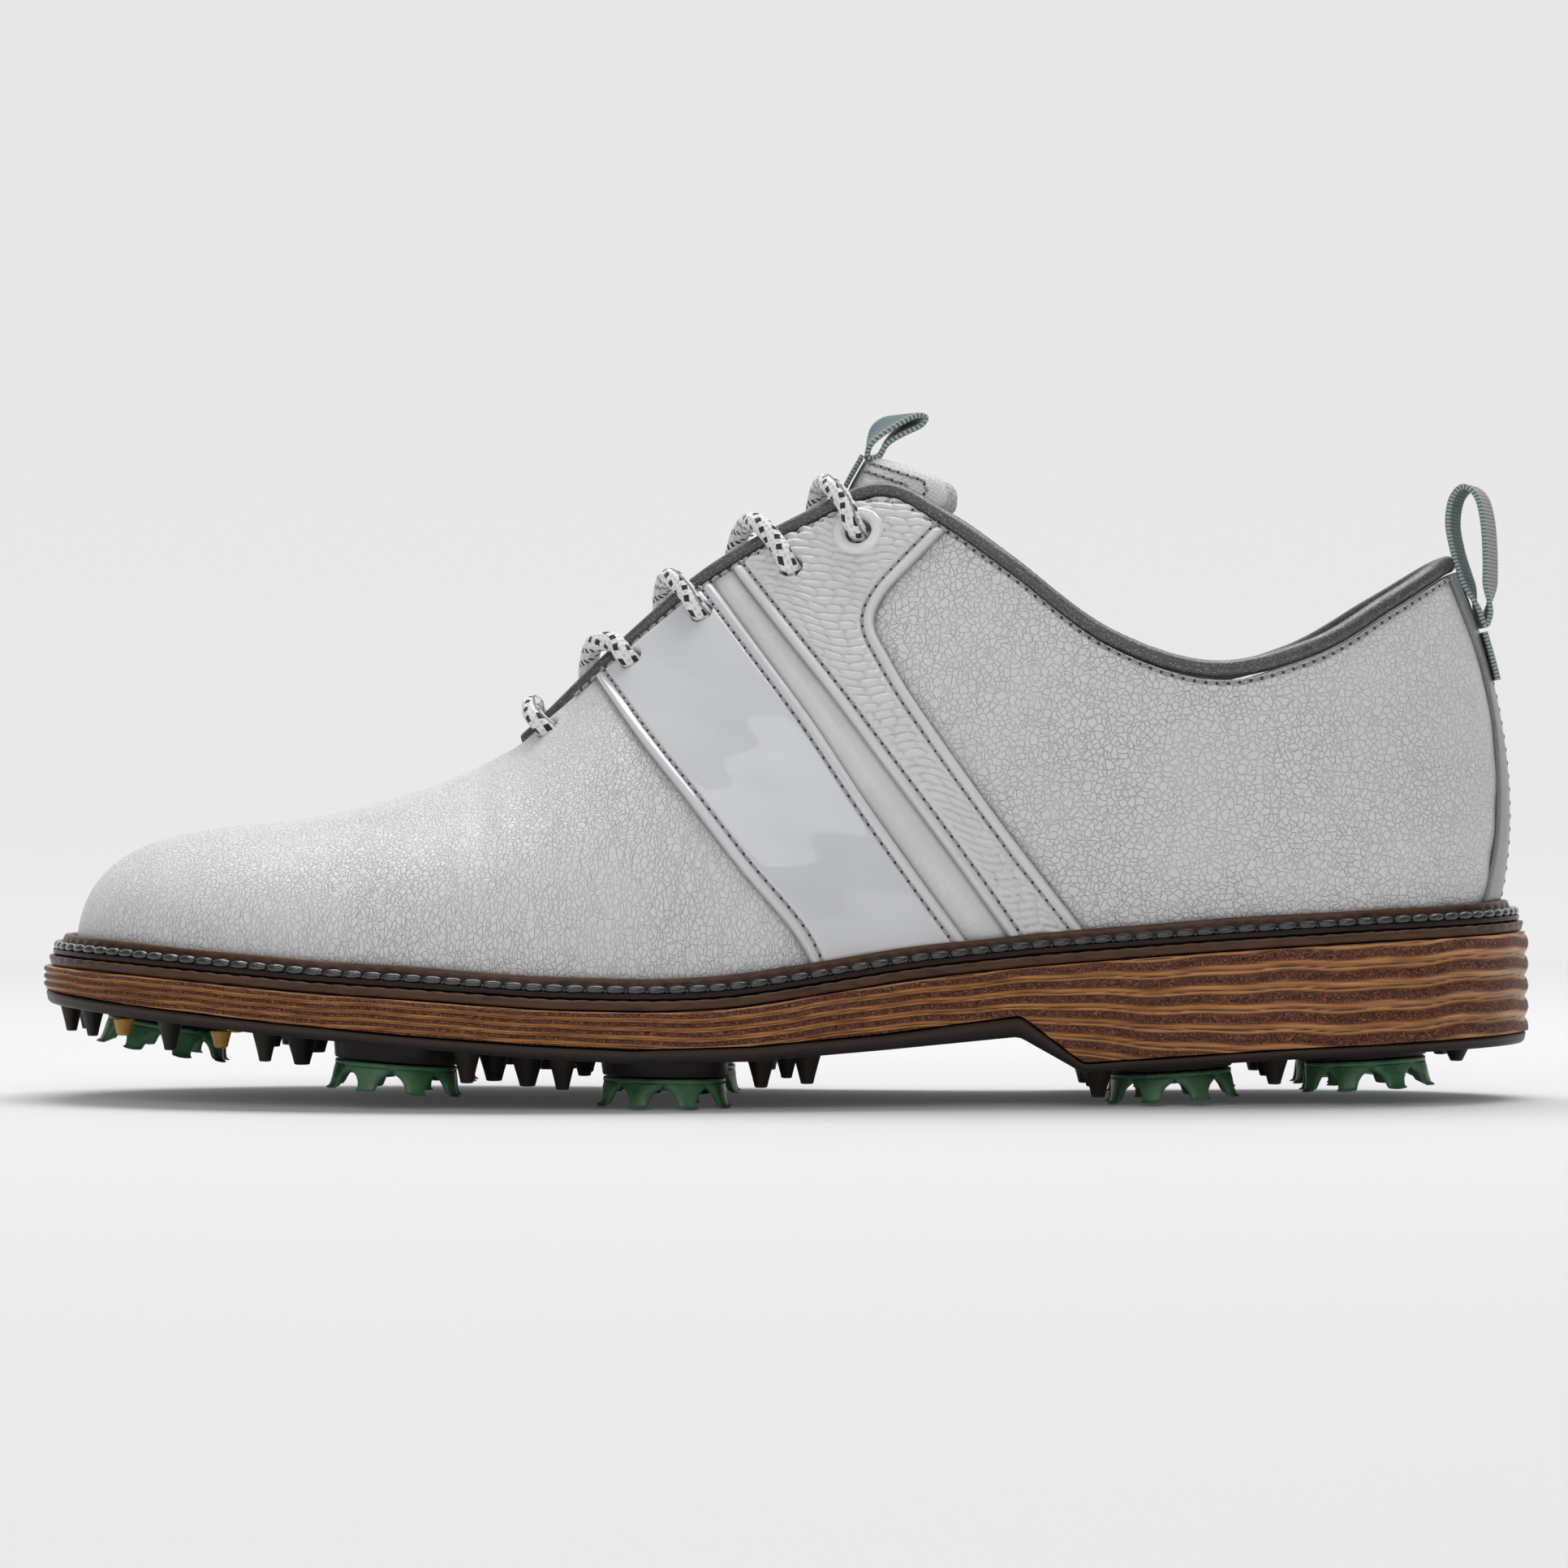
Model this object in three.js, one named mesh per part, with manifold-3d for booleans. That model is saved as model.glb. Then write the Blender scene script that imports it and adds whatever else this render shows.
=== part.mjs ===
// Golf shoe, left foot. Millimetres, +Z up, toe towards -X, outer (lateral) side towards -Y.
// The upper is one smooth last surface cut into panels. The sole is a stack of layers that
// follow the same outline. Every length that two pieces share comes from one named value.
import * as THREE from "three";
import { mergeVertices } from "three/addons/utils/BufferGeometryUtils.js";
import Module from "manifold-3d";

const wasm = await Module();
wasm.setup();

// ---------- driving sizes ----------
const SHOE_LENGTH = 300; // outsole length the tables below are drawn for
const LENGTH_SCALE = SHOE_LENGTH / 300;
const GAP = 0.3; // seat gap between two pieces that touch
const LEATHER = 1.4; // outer panels
const LINING = 1.0;
const TOE_PUFF = 1.1;
const COUNTER = 1.2;
const COLLAR_PAD = 4.4; // extra depth of the padded collar
const PIPING_RADIUS = 1.5;
const LACE_RADIUS = 1.7;
const LACE_CLEARANCE = 0.6;
const TONGUE_SKIN = 1.0;
const TONGUE_FOAM = 2.0;
const LIP_HEIGHT = 3.0; // storm welt lip above its platform
const FOOT_RISE = 1.2; // foot of the upper above the platform
const WELT_THICKNESS = 1.1;
const STRIP_THICKNESS = 1.8;
const BOARD_THICKNESS = 1.7;
const SOCK_THICKNESS = 3.0;
const SHANK_WIDTH = 15;
const SHANK_THICKNESS = 1.2;
const CLEAT_HEIGHT = 5.8;
const CLEAT_SEAT = 5.8; // from the feet to the cleat seats, as the sole tables are drawn
const CLEAT_RADIUS = 12;
const CLEAT_TIP_RADIUS = 13.75;
const STEM_RADIUS = 3.6;
const STEM_LENGTH = 1.5;
const RECEPTACLE_RADIUS = 9;
const RECEPTACLE_THICKNESS = 2.2;
const BOSS_RADIUS = 12.2;

// ---------- the last ----------
// One row per station from the toe tip (0) to the back seam (18): the feather line point,
// the top edge point, then how far the profile bulges out and up at its foot and its head.
// [feather x, y, top x, y, z, foot out, foot up, head out, head down]
const LATERAL = [
  [-143.0, 4.0, -103, 4.0, 55.4, -1.5, 18.2, 25, 1.5],
  [-140.5, -9.0, -101, 4.0, 55.5, -0.5, 18.0, 24, 1.5],
  [-132.0, -21.0, -97, 4.0, 56.2, 0.5, 18.0, 21, 1.6],
  [-118.0, -32.0, -90, 3.8, 57.6, 1.5, 18.0, 20, 2.2],
  [-97.0, -41.5, -79, 3.2, 60.5, 2.5, 19.0, 20, 2.3],
  [-72.0, -48.0, -65, 2.0, 65.3, 3.5, 23.0, 20, 2.8],
  [-50.0, -50.5, -53, -5.0, 72.5, 4.5, 27.0, 16, 5.0],
  [-28.0, -49.5, -36, -9.5, 89.0, 5.0, 30.0, 15, 11.0],
  [-5.0, -46.0, -16, -11.5, 106.3, 5.0, 33.0, 15, 17.0],
  [16.0, -41.5, 4, -14.0, 117.6, 6.0, 36.0, 14, 21.0],
  [33.0, -37.5, 19, -17.0, 123.4, 7.0, 37.0, 12, 24.0],
  [46.2, -34.5, 31, -22.0, 117.8, 7.5, 35.0, 9, 24.0],
  [58.5, -33.0, 44, -28.5, 108.5, 7.5, 29.0, 6, 22.0],
  [77.0, -32.0, 63, -33.0, 94.2, 7.5, 23.0, 3, 16.0],
  [95.0, -31.5, 84, -34.0, 87.5, 6.5, 20.0, 2, 12.0],
  [112.0, -30.0, 104.5, -30.5, 92.0, 6.0, 21.0, 2, 14.0],
  [127.0, -24.5, 120, -21.0, 101.0, 6.0, 22.0, 4, 16.0],
  [138.5, -14.0, 130.5, -11.0, 107.6, 6.0, 23.0, 7, 19.0],
  [143.5, 0.0, 134, 0.0, 109.3, 6.0, 23.0, 9, 21.0],
];
const MEDIAL = [
  LATERAL[0],
  [-141.0, 16.5, -101, 4.0, 55.5, -0.5, 18.0, 24, 1.5],
  [-134.0, 27.5, -97, 4.0, 56.2, 0.5, 18.0, 21, 1.6],
  [-121.0, 36.5, -90, 3.8, 57.6, 1.0, 18.0, 20, 2.2],
  [-101.0, 43.0, -79, 3.2, 60.5, 1.5, 19.0, 20, 2.3],
  [-78.0, 45.0, -65, 2.0, 65.3, 2.0, 22.0, 20, 2.8],
  [-56.0, 43.5, -53, 8.5, 72.5, 2.5, 26.0, 15, 5.0],
  [-34.0, 40.0, -36, 12.5, 89.0, 4.0, 30.0, 14, 11.0],
  [-10.0, 34.0, -16, 14.5, 106.3, 6.0, 33.0, 14, 17.0],
  [12.0, 29.0, 4, 16.5, 117.6, 8.0, 36.0, 13, 21.0],
  [31.0, 26.5, 19, 18.5, 123.4, 9.5, 37.0, 11, 24.0],
  [46.2, 25.5, 31, 23.0, 117.8, 10.0, 35.0, 9, 24.0],
  [58.5, 26.0, 44, 28.5, 108.5, 9.5, 29.0, 6, 22.0],
  [77.0, 27.5, 63, 32.5, 94.2, 8.0, 23.0, 3, 16.0],
  [95.0, 29.0, 84, 33.5, 87.5, 7.0, 20.0, 2, 12.0],
  [112.0, 28.5, 104.5, 30.0, 92.0, 6.0, 21.0, 2, 14.0],
  [127.0, 23.5, 120, 21.0, 101.0, 6.0, 22.0, 4, 16.0],
  [138.5, 13.5, 130.5, 11.0, 107.6, 6.0, 23.0, 7, 19.0],
  LATERAL[18],
];
const LAST = 18; // station of the back seam
const LOOP = 2 * LAST; // loop coordinate: 0 toe, 18 heel, back to 36 along the inner side
const RIDGE = 5; // the two sides meet on top of the foot up to this station

// Heights along the shoe, as [x, z] pairs.
const WELT_TOP = [
  [-160, 33.6], [-148, 33.3], [-130, 32.2], [-110, 30.6], [-89, 28.9], [-73, 28.0], [-46, 26.1],
  [-24, 25.6], [-10, 26.2], [6, 28.6], [25, 31.6], [46.2, 33.8], [58.5, 34.8], [85, 36.8],
  [115, 38.6], [160, 40.6],
];
const STACK_BOTTOM = [
  [-160, 23.0], [-149, 22.3], [-133, 20.5], [-100, 17.2], [-73, 14.9], [-49, 13.2], [-29, 12.2],
  [-6, 12.7], [20, 15.0], [46.2, 18.2], [58.5, 8.9], [100, 11.6], [135, 13.2], [160, 14.4],
];
const SOLE_BOTTOM = [
  [-160, 20.0], [-148, 19.2], [-133, 17.6], [-100, 14.5], [-73, 12.3], [-49, 10.4], [-29, 9.3],
  [-6, 9.6], [20, 11.6], [46.2, 13.9], [58.5, 6.8], [92, 8.9], [120, 10.3], [160, 11.6],
];

// Offsets out from the feather line.
const LIP_OUT = 2.4;
const WELT_OUT = 4.7;
const STRIP_OUT = 5.2;
const STACK_OUT = 6.4;
const SOLE_OUT = 5.9;
const RING_IN = -9; // how far the welt and the strip reach under the upper

// Seams between the panels, drawn in the side view as [x, z], top to bottom.
const SEAM_SADDLE = [
  [-52, 104], [-37.5, 84.4], [-28.6, 72.1], [-18.4, 59.3], [-8.5, 46.6], [2.8, 32.8], [8, 20],
];
const SEAM_STRIP = [
  [-27, 121], [-15.1, 104.4], [-5, 90.3], [5.7, 75.5], [16.3, 59.4], [26.9, 44.5], [36.7, 31], [43, 20],
];
const SEAM_EYESTAY = [
  [-21, 121], [-10.9, 106.9], [-1.4, 94.3], [9.2, 80.6], [19.8, 66.3], [32.4, 49.4], [44.4, 32.5], [52, 20],
];
const SEAM_QUARTER = [
  [46, 128], [33.4, 114.9], [25.8, 107.1], [19.9, 100.6], [17.8, 94.8], [20.5, 88.4], [26.9, 77.7],
  [40.9, 57.9], [52.8, 42.4], [59.6, 33.5], [68, 20],
];
const SEAM_BACKSTAY = [
  [126, 118], [132.2, 103.5], [136.0, 94], [138.8, 86], [140.7, 76], [141.4, 67], [141.4, 58],
  [140.8, 51], [139, 42], [137, 34], [134, 20],
];

// ---------- small helpers ----------
const group = new THREE.Group();
group.name = "golf_shoe";
const COLOURS = {
  leather: [0xf1f0ee, 0.5, 0],
  patent: [0xf6f6f6, 0.12, 0],
  binding: [0x8d9296, 0.4, 0.4],
  textile: [0xe9e9e6, 0.9, 0],
  ribbon: [0x6f9296, 0.8, 0],
  lace: [0xececea, 0.85, 0],
  board: [0xb59a72, 0.9, 0],
  steel: [0x9aa0a4, 0.35, 0.9],
  foam: [0xd8d8d2, 0.95, 0],
  welt: [0x4a3222, 0.6, 0],
  thread: [0x3a3a3c, 0.5, 0],
  stack: [0x9a6a40, 0.6, 0],
  outsole: [0x2e2420, 0.6, 0],
  cleat: [0x1f6b3a, 0.3, 0],
  accent: [0xc58a2c, 0.4, 0],
};

function addMesh(name, geometry, look) {
  const [color, roughness, metalness] = COLOURS[look];
  const material = new THREE.MeshStandardMaterial({ color, roughness, metalness });
  const mesh = new THREE.Mesh(geometry, material);
  mesh.name = name;
  group.add(mesh);
  return mesh;
}

function clean(geometry) {
  const bare = geometry.index ? geometry.clone() : geometry;
  const kept = new THREE.BufferGeometry();
  kept.setAttribute("position", bare.getAttribute("position"));
  if (bare.index) kept.setIndex(bare.index);
  return mergeVertices(kept, 1e-3);
}

function solid(geometry) {
  const g = clean(geometry);
  const vertProperties = new Float32Array(g.attributes.position.array);
  const triVerts = new Uint32Array(g.index.array);
  return new wasm.Manifold(new wasm.Mesh({ numProp: 3, vertProperties, triVerts }));
}

function geometryOf(body) {
  const mesh = body.getMesh();
  const g = new THREE.BufferGeometry();
  g.setAttribute("position", new THREE.BufferAttribute(new Float32Array(mesh.vertProperties), 3));
  g.setIndex(new THREE.BufferAttribute(new Uint32Array(mesh.triVerts), 1));
  return g;
}

// The largest piece of a cut body: crumbs left by a slanted cut are dropped.
function largest(body) {
  const pieces = body.decompose();
  pieces.sort((a, b) => b.volume() - a.volume());
  return pieces[0];
}

function indexed(points, faces) {
  const g = new THREE.BufferGeometry();
  const flat = points.flatMap((p) => [p.x, p.y, p.z]);
  g.setAttribute("position", new THREE.Float32BufferAttribute(flat, 3));
  g.setIndex(faces.flat());
  return g;
}

// Straight-line reading of a table of [x, z] pairs.
function level(table, x) {
  let i = 0;
  while (i < table.length - 2 && x > table[i + 1][0]) i += 1;
  const [x0, z0] = table[i];
  const [x1, z1] = table[i + 1];
  return z0 + ((z1 - z0) * (x - x0)) / (x1 - x0);
}

function smooth(a, b, x) {
  const t = Math.min(1, Math.max(0, (x - a) / (b - a)));
  return t * t * (3 - 2 * t);
}

function catmull(p0, p1, p2, p3, t) {
  return p1.map((_, k) => {
    const a = 2 * p1[k];
    const b = p2[k] - p0[k];
    const c = 2 * p0[k] - 5 * p1[k] + 4 * p2[k] - p3[k];
    const d = -p0[k] + 3 * p1[k] - 3 * p2[k] + p3[k];
    return 0.5 * (a + b * t + c * t * t + d * t * t * t);
  });
}

function rowAt(i) {
  const c = ((i % LOOP) + LOOP) % LOOP;
  return c <= LAST ? LATERAL[c] : MEDIAL[LOOP - c];
}

function loopRow(c) {
  const i = Math.floor(c);
  return catmull(rowAt(i - 1), rowAt(i), rowAt(i + 1), rowAt(i + 2), c - i);
}

function stationOf(c) {
  const r = ((c % LOOP) + LOOP) % LOOP;
  return r <= LAST ? r : LOOP - r;
}

// Outward direction of the outline at loop coordinate c.
function outward(c) {
  const a = loopRow(c - 0.05);
  const b = loopRow(c + 0.05);
  const dx = b[0] - a[0];
  const dy = b[1] - a[1];
  const n = Math.hypot(dx, dy);
  return new THREE.Vector2(dy / n, -dx / n);
}

function outlinePoint(c, out) {
  const row = loopRow(c);
  const n = outward(c);
  return new THREE.Vector2(row[0] + n.x * out, row[1] + n.y * out);
}

// The four control points of the profile at loop coordinate c.
function profile(c) {
  const row = loopRow(c);
  const t = stationOf(c);
  if (t < RIDGE) {
    // Both sides share one top line here, so the top of the foot closes.
    const other = loopRow(LOOP - t);
    const own = loopRow(t);
    for (let k = 2; k < 5; k += 1) row[k] = (own[k] + other[k]) / 2;
  }
  const [bx, by, tx, ty, tz, footOut, footUp, headOut, headDown] = row;
  const n = outward(c);
  const bz = level(WELT_TOP, bx) - LIP_HEIGHT + FOOT_RISE;
  const foot = new THREE.Vector3(bx, by, bz);
  const head = new THREE.Vector3(tx, ty, tz);
  const low = new THREE.Vector3(bx + n.x * footOut, by + n.y * footOut, bz + footUp);
  const high = new THREE.Vector3(tx + n.x * headOut, ty + n.y * headOut, tz - headDown);
  return [foot, low, high, head];
}

function lastPoint(c, v) {
  const [a, b, d, e] = profile(c);
  const u = 1 - v;
  const out = new THREE.Vector3();
  out.addScaledVector(a, u * u * u);
  out.addScaledVector(b, 3 * u * u * v);
  out.addScaledVector(d, 3 * u * v * v);
  out.addScaledVector(e, v * v * v);
  return out;
}

// Where the panels stop below the top edge, to leave room for the piping.
function topEdge(c) {
  const t = stationOf(c);
  const [, , high, head] = profile(c);
  const speed = 3 * high.distanceTo(head);
  const trim = (2 * PIPING_RADIUS + 2 * GAP) * smooth(RIDGE, RIDGE + 0.9, t);
  return 1 - trim / speed;
}

// ---------- sheets of the upper ----------
// A sheet runs over loop coordinates cs and heights vs (0 foot, 1 top) of the last surface.
// It is thickened inwards from depth "near" to depth "far", both functions of (c, v).
function sheet(cs, vs, near, far, closed = false) {
  const points = [];
  const where = [];
  const normals = [];
  const ids = new Map();
  const grid = cs.map((c) =>
    vs.map((v) => {
      const p = lastPoint(c, v * topEdge(c));
      const key = [p.x, p.y, p.z].map((q) => q.toFixed(3)).join();
      if (!ids.has(key)) {
        ids.set(key, points.length);
        points.push(p);
        where.push([stationOf(c), v]);
        normals.push(lastNormal(c, v * topEdge(c), v === 1));
      }
      return ids.get(key);
    }),
  );
  const faces = [];
  const columns = closed ? cs.length : cs.length - 1;
  for (let i = 0; i < columns; i += 1) {
    const left = grid[i];
    const right = grid[(i + 1) % cs.length];
    for (let j = 0; j + 1 < vs.length; j += 1) {
      faces.push([left[j], right[j], right[j + 1]], [left[j], right[j + 1], left[j + 1]]);
    }
  }
  const real = faces.filter(([a, b, c]) => a !== b && b !== c && a !== c);
  return thicken(points, real, normals, where, near, far);
}

// Outward normal of the last. On the closed ridge it is shared by the two sides.
function lastNormal(c, v, top) {
  const at = (q) => {
    const u = Math.min(v, 0.97);
    const along = new THREE.Vector3().subVectors(lastPoint(q + 0.05, u), lastPoint(q - 0.05, u));
    const up = new THREE.Vector3().subVectors(lastPoint(q, u + 0.02), lastPoint(q, u - 0.02));
    return along.cross(up).normalize();
  };
  const n = at(c);
  if (top && stationOf(c) <= RIDGE) n.add(at(LOOP - c)).normalize();
  return n;
}

function thicken(points, faces, normals, where, near, far) {
  const outer = points.map((p, i) => p.clone().addScaledVector(normals[i], -near(...where[i])));
  const inner = points.map((p, i) => p.clone().addScaledVector(normals[i], -far(...where[i])));
  const count = points.length;
  const all = faces.map((f) => [...f]);
  faces.forEach(([a, b, c]) => all.push([a + count, c + count, b + count]));
  const edges = new Set();
  faces.forEach(([a, b, c]) => {
    edges.add(a + "_" + b);
    edges.add(b + "_" + c);
    edges.add(c + "_" + a);
  });
  edges.forEach((key) => {
    const [a, b] = key.split("_").map(Number);
    if (edges.has(b + "_" + a)) return;
    all.push([b, a, a + count], [b, a + count, b + count]);
  });
  return indexed([...outer, ...inner], all);
}

function steps(from, to, count) {
  return Array.from({ length: count + 1 }, (_, i) => from + ((to - from) * i) / count);
}

// How deep the lining lies: it steps in over the toe puff, the counter and the collar pad.
function liningDepth(t, v) {
  const toe = (TOE_PUFF + GAP) * (1 - smooth(3.6, 4.8, t));
  const heel = (COUNTER + GAP) * smooth(13, 14, t) * (1 - smooth(0.5, 0.62, v));
  const collar = COLLAR_PAD * smooth(10.6, 12.4, t) * smooth(0.5, 0.7, v) * (1 - smooth(0.78, 1.02, v));
  return LEATHER + GAP + toe + Math.max(heel, collar);
}

// Every sheet uses the same stations and heights, so neighbours run parallel.
const STEP = 0.6;
const HEIGHTS = [0, 0.2, 0.4, 0.56, 0.7, 0.85, 1];
const allRound = steps(0, LOOP, LOOP / STEP).slice(0, -1);
const upperLayer = solid(sheet(allRound, HEIGHTS, () => 0, () => LEATHER, true));
const liningSheet = sheet(allRound, HEIGHTS, liningDepth, (t, v) => liningDepth(t, v) + LINING, true);

// A prism over a side-view outline, from y0 to y1.
function prism(outline, y0, y1) {
  const shape = new THREE.Shape(outline.map(([x, z]) => new THREE.Vector2(x, z)));
  const g = new THREE.ExtrudeGeometry(shape, { depth: y1 - y0, bevelEnabled: false });
  g.rotateX(Math.PI / 2);
  g.translate(0, y1, 0);
  return solid(g);
}

const FAR_LEFT = [[-190, 20], [-190, 140]];
const FAR_RIGHT = [[190, 20], [190, 140]];
const shifted = (seam, by) => seam.map(([x, z]) => [x + by, z]);
// The region between a front seam and a rear seam, each given top to bottom.
function between(front, rear, y0, y1) {
  const a = shifted(front, GAP * 0.7);
  const b = shifted(rear, -GAP * 0.7).reverse();
  return prism([...a, ...b], y0, y1);
}

const SIDES = { lateral: [-80, 0], medial: [0, 80] };

// ---------- lace holes ----------
// A section across the foot at station t, from the outer flap over the throat to the inner
// flap, as points with their distance from the middle.
function section(t) {
  const lateral = steps(0.35, 1, 24).map((v) => lastPoint(t, v));
  const medial = steps(0.35, 1, 24).map((v) => lastPoint(LOOP - t, v));
  const [, , highL, headL] = profile(t);
  const [, , highM, headM] = profile(LOOP - t);
  const chord = headL.distanceTo(headM);
  const goIn = new THREE.Vector3().subVectors(headL, highL).setLength(chord * 0.55);
  const goOut = new THREE.Vector3().subVectors(highM, headM).setLength(chord * 0.55);
  const bridge = [];
  if (chord > 0.01) {
    steps(0, 1, 16).slice(1, -1).forEach((s) => {
      const p = new THREE.Vector3();
      p.addScaledVector(headL, 2 * s ** 3 - 3 * s ** 2 + 1);
      p.addScaledVector(goIn, s ** 3 - 2 * s ** 2 + s);
      p.addScaledVector(headM, -2 * s ** 3 + 3 * s ** 2);
      p.addScaledVector(goOut, s ** 3 - s ** 2);
      bridge.push(p);
    });
  }
  const line = [...lateral, ...bridge, ...medial.reverse()];
  const lengths = [0];
  for (let i = 1; i < line.length; i += 1) {
    lengths.push(lengths[i - 1] + line[i].distanceTo(line[i - 1]));
  }
  const edgeL = lengths[lateral.length - 1];
  const edgeM = lengths[lateral.length + bridge.length];
  const middle = (edgeL + edgeM) / 2;
  return { line, lengths: lengths.map((q) => q - middle), half: (edgeM - edgeL) / 2 };
}

function onSection(t, w) {
  const { line, lengths } = section(t);
  let i = 0;
  while (i < lengths.length - 2 && w > lengths[i + 1]) i += 1;
  const f = (w - lengths[i]) / (lengths[i + 1] - lengths[i]);
  return new THREE.Vector3().lerpVectors(line[i], line[i + 1], f);
}

// Point at station t, distance w across, and depth d below the outer surface.
function instep(t, w, d) {
  const p = onSection(t, w);
  const along = new THREE.Vector3().subVectors(onSection(t + 0.1, w), onSection(t - 0.1, w));
  const across = new THREE.Vector3().subVectors(onSection(t, w + 2.5), onSection(t, w - 2.5));
  const n = along.cross(across).normalize();
  return { point: p.addScaledVector(n, -d), normal: n };
}

const HOLE_STATIONS = [6.35, 7.25, 7.92, 8.78, 9.6];
const HOLE_INSETS = [7.2, 8.6, 10.6, 11.8, 10.6]; // from the top edge of the flap
const HOLE_CLEARANCE = 1.65; // round the lace, which turns inside the hole
const HOLE_RADIUS = LACE_RADIUS + HOLE_CLEARANCE;
const EYELET_BARREL = HOLE_RADIUS + 0.4;
const EYELET_FLANGE = 1.15; // stands this far above the leather
const flapDepth = LEATHER + GAP + LINING;
const underDepth = flapDepth + LACE_CLEARANCE + LACE_RADIUS;

const holeAt = (k, side) => {
  const t = HOLE_STATIONS[k];
  return { t, w: side * (section(t).half + HOLE_INSETS[k]) };
};

function drill(k, side, radius) {
  const { t, w } = holeAt(k, side);
  const { point, normal } = instep(t, w, flapDepth / 2);
  const g = new THREE.CylinderGeometry(radius, radius, 12, 8);
  g.applyQuaternion(new THREE.Quaternion().setFromUnitVectors(new THREE.Vector3(0, 1, 0), normal));
  g.translate(point.x, point.y, point.z);
  return solid(g);
}

const drills = [];
for (let k = 0; k < HOLE_STATIONS.length; k += 1) {
  const radius = k === HOLE_STATIONS.length - 1 ? EYELET_BARREL + GAP : HOLE_RADIUS;
  drills.push(drill(k, -1, radius), drill(k, 1, radius));
}
const allDrills = wasm.Manifold.union(drills);

// ---------- outer panels ----------
const drilledUpper = upperLayer.subtract(allDrills);
const vampCut = between([...FAR_LEFT].reverse(), SEAM_SADDLE, -80, 80);
addMesh("vamp", geometryOf(largest(drilledUpper.intersect(vampCut))), "leather");
for (const [side, [y0, y1]] of Object.entries(SIDES)) {
  const cut = (front, rear) => geometryOf(largest(drilledUpper.intersect(between(front, rear, y0, y1))));
  addMesh("saddle_" + side, cut(SEAM_SADDLE, SEAM_STRIP), "patent");
  addMesh("underlay_strip_" + side, cut(SEAM_STRIP, SEAM_EYESTAY), "leather");
  addMesh("eyestay_" + side, cut(SEAM_EYESTAY, SEAM_QUARTER), "leather");
  addMesh("quarter_" + side, cut(SEAM_QUARTER, SEAM_BACKSTAY), "leather");
}
const backCut = between(SEAM_BACKSTAY, [...FAR_RIGHT].reverse(), -80, 80);
addMesh("heel_backstay", geometryOf(largest(upperLayer.intersect(backCut))), "binding");

// ---------- inside of the upper ----------
addMesh("lining", geometryOf(largest(solid(liningSheet).subtract(allDrills))), "textile");
const puffDepth = LEATHER + GAP;
const puffCs = steps(-6 * STEP, 6 * STEP, 12);
const puff = sheet(puffCs, HEIGHTS.slice(1, 6), () => puffDepth, () => puffDepth + TOE_PUFF);
addMesh("toe_puff", clean(puff), "foam");
const counterCs = steps(24 * STEP, 36 * STEP, 12);
const counter = sheet(counterCs, HEIGHTS.slice(0, 3), () => puffDepth, () => puffDepth + COUNTER);
addMesh("heel_counter", clean(counter), "board");
const padCs = steps(20 * STEP, 40 * STEP, 20);
const pad = sheet(padCs, HEIGHTS.slice(3, 6), () => puffDepth, (t, v) => liningDepth(t, v) - GAP);
addMesh("collar_foam", clean(pad), "foam");

// ---------- edge piping ----------
const ROUND_SIDES = 6;
function circleShape(radius, sides) {
  const corners = steps(0, 2 * Math.PI, sides).slice(0, -1);
  return new THREE.Shape(corners.map((a) => new THREE.Vector2(radius * Math.cos(a), radius * Math.sin(a))));
}

// A closed tube along points, with frames carried from one point to the next.
function tube(points, radius, sides) {
  const rings = [];
  let side = null;
  points.forEach((p, i) => {
    const before = points[Math.max(0, i - 1)];
    const after = points[Math.min(points.length - 1, i + 1)];
    const dir = new THREE.Vector3().subVectors(after, before).normalize();
    if (!side) side = Math.abs(dir.z) < 0.9 ? new THREE.Vector3(0, 0, 1) : new THREE.Vector3(1, 0, 0);
    side = side.clone().addScaledVector(dir, -side.dot(dir)).normalize();
    const up = new THREE.Vector3().crossVectors(dir, side);
    const ring = steps(0, 2 * Math.PI, sides).slice(0, -1).map((a) => {
      const q = p.clone();
      q.addScaledVector(side, radius * Math.cos(a));
      q.addScaledVector(up, radius * Math.sin(a));
      return q;
    });
    rings.push(ring);
  });
  return loft(rings);
}

// Joins rings of equal length into a closed body, with a flat fan at each end.
function loft(rings) {
  const n = rings[0].length;
  const points = rings.flat();
  const faces = [];
  for (let i = 0; i + 1 < rings.length; i += 1) {
    for (let j = 0; j < n; j += 1) {
      const a = i * n + j;
      const b = i * n + ((j + 1) % n);
      faces.push([a, b, b + n], [a, b + n, a + n]);
    }
  }
  const last = (rings.length - 1) * n;
  for (let j = 1; j + 1 < n; j += 1) {
    faces.push([0, j + 1, j], [last, last + j, last + j + 1]);
  }
  return indexed(points, faces);
}

const pipingPath = steps(RIDGE + 1, LOOP - RIDGE - 1, 54).map((c) => {
  const [, , high, head] = profile(c);
  const down = new THREE.Vector3().subVectors(high, head).normalize();
  const along = new THREE.Vector3().subVectors(lastPoint(c + 0.1, 1), lastPoint(c - 0.1, 1));
  const inwardDir = new THREE.Vector3().crossVectors(along, down).normalize();
  return head.clone().addScaledVector(down, PIPING_RADIUS).addScaledVector(inwardDir, flapDepth / 2);
});
addMesh("collar_piping", clean(tube(pipingPath, PIPING_RADIUS, ROUND_SIDES)), "binding");

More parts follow.
